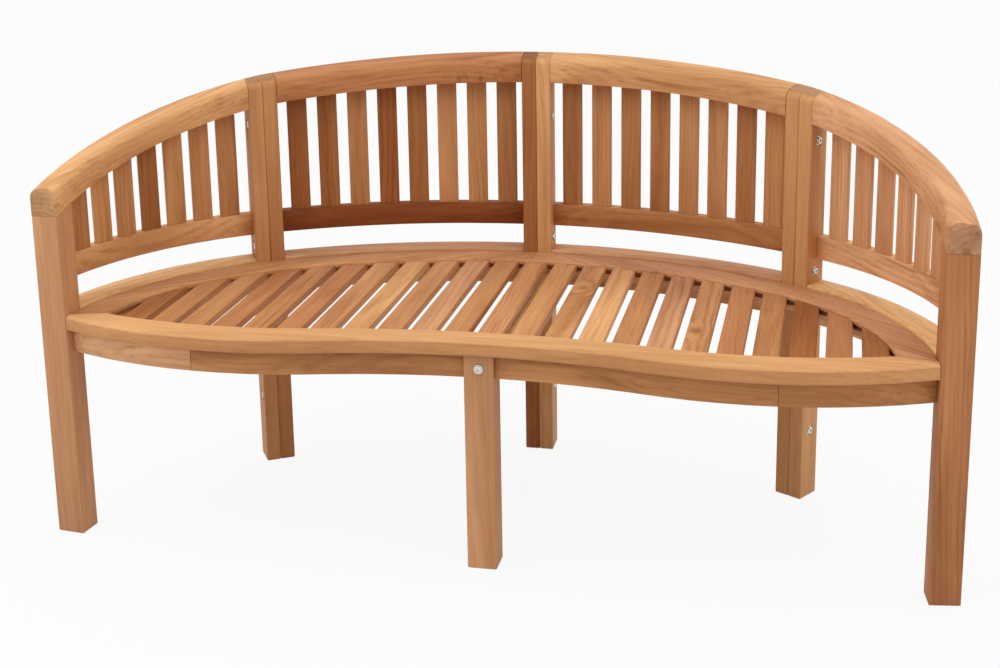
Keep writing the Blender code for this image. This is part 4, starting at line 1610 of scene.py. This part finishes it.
@dataclass(frozen=True)
class PhotoCamera:
    """The camera at the photograph's viewing angle.

    Attributes:
        spot: Where it stands.
        yaw: Turn to the left of straight ahead.
        pitch: Turn below the horizon.
        roll: Turn about the line of sight.
        focal: Focal length in pixels of the photograph.
        shift_up: Shift of the frame, as a share of its width.
    """

    spot: Triple = (0.5842, -2.7648, 1.3089)
    yaw: float = 0.2135
    pitch: float = 0.2437
    roll: float = -0.0161
    focal: float = 1614.8
    shift_up: float = -0.14

    def build(self) -> None:
        """Makes the camera."""
        level = Vector((math.cos(self.yaw), math.sin(self.yaw), 0.0))
        ahead = Vector(
            (
                -math.sin(self.yaw) * math.cos(self.pitch),
                math.cos(self.yaw) * math.cos(self.pitch),
                -math.sin(self.pitch),
            )
        )
        upright = level.cross(ahead)
        right = level * math.cos(self.roll) + upright * math.sin(self.roll)
        up = upright * math.cos(self.roll) - level * math.sin(self.roll)
        data = bpy.data.cameras.new("camera")
        obj = bpy.data.objects.new("camera", data)
        bpy.context.scene.collection.objects.link(obj)
        matrix = Matrix((right, up, -ahead)).transposed().to_4x4()
        matrix.translation = Vector(self.spot)
        obj.matrix_world = matrix
        data.sensor_width = SENSOR_WIDTH
        data.lens = self.focal / PHOTO_WIDTH * SENSOR_WIDTH
        data.shift_y = self.shift_up
        bpy.context.scene.camera = obj


BACK_PANELS = (
    SlatPanel(
        "back_slats_left",
        arm=False,
        sign=SIDES["left"],
        tones=(Tone.WARM, Tone.GOLD, Tone.TAN, Tone.BROWN, Tone.RUST, Tone.TAN, Tone.BROWN, Tone.RUST),
        grains={0: STRIPED, 4: FIGURED, 5: FIGURED},
        rail_tones=(Tone.CLAY, Tone.UMBER),
    ),
    SlatPanel(
        "back_slats_right",
        arm=False,
        sign=SIDES["right"],
        tones=(Tone.WARM, Tone.TAN, Tone.WARM, Tone.WARM, Tone.TAN, Tone.TAN, Tone.WARM, Tone.GOLD),
        grains={0: STRIPED, 3: FIGURED, 6: STRIPED},
        rail_tones=(Tone.HONEY, Tone.WARM),
    ),
    SlatPanel(
        "arm_slats_left",
        arm=True,
        sign=SIDES["left"],
        tones=(Tone.WARM, Tone.TAN, Tone.GOLD, Tone.BROWN, Tone.TAN, Tone.GOLD, Tone.WARM),
        grains={3: STRIPED},
        rail_tones=(Tone.HONEY, Tone.HONEY),
    ),
    SlatPanel(
        "arm_slats_right",
        arm=True,
        sign=SIDES["right"],
        tones=(Tone.SHELL, Tone.BLUSH, Tone.BLUSH, Tone.BLUSH, Tone.SHELL, Tone.BLUSH, Tone.TAN),
        grains={},
        rail_tones=(Tone.BLUSH, Tone.SHELL),
    ),
)

SEAT = Seat(
    tones=(
        *(Tone.BROWN, Tone.WARM, Tone.WARM, Tone.CLAY, Tone.WARM, Tone.CLAY, Tone.TAN, Tone.HONEY),
        *(Tone.TAN, Tone.ROSE, Tone.WARM, Tone.TAN, Tone.GOLD, Tone.GOLD, Tone.HONEY, Tone.WARM),
        *(Tone.ROSE, Tone.TAN, Tone.CLAY, Tone.WARM, Tone.RUST, Tone.CLAY, Tone.BROWN),
    ),
    grains={5: STRIPED, 7: STRIPED, 12: STRIPED, 14: FIGURED, 17: FIGURED, 18: FIGURED},
    knots={
        14: (Knot((0.128, 0.060, 0.415), 0.007, 0.45),),
        18: (Knot((0.354, -0.151, 0.415), 0.008, 0.50),),
    },
)


def main() -> None:
    """Builds the bench's looks over the frame."""
    logging.basicConfig(level=logging.INFO, format="%(name)s: %(message)s")
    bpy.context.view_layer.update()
    post_low, post_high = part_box("centre_post_left")
    bench = Bench((post_low.y + post_high.y) / 2)
    joiner = Joiner()
    PhotoCamera().build()
    Posts().build(joiner)
    BackRails().build(joiner)
    for panel in BACK_PANELS:
        panel.build(joiner, bench)
    SEAT.build(joiner)
    Bolts().build(bench)
    Studio().build()
    log.info("%d boards", joiner.count)


if __name__ == "__main__":
    main()
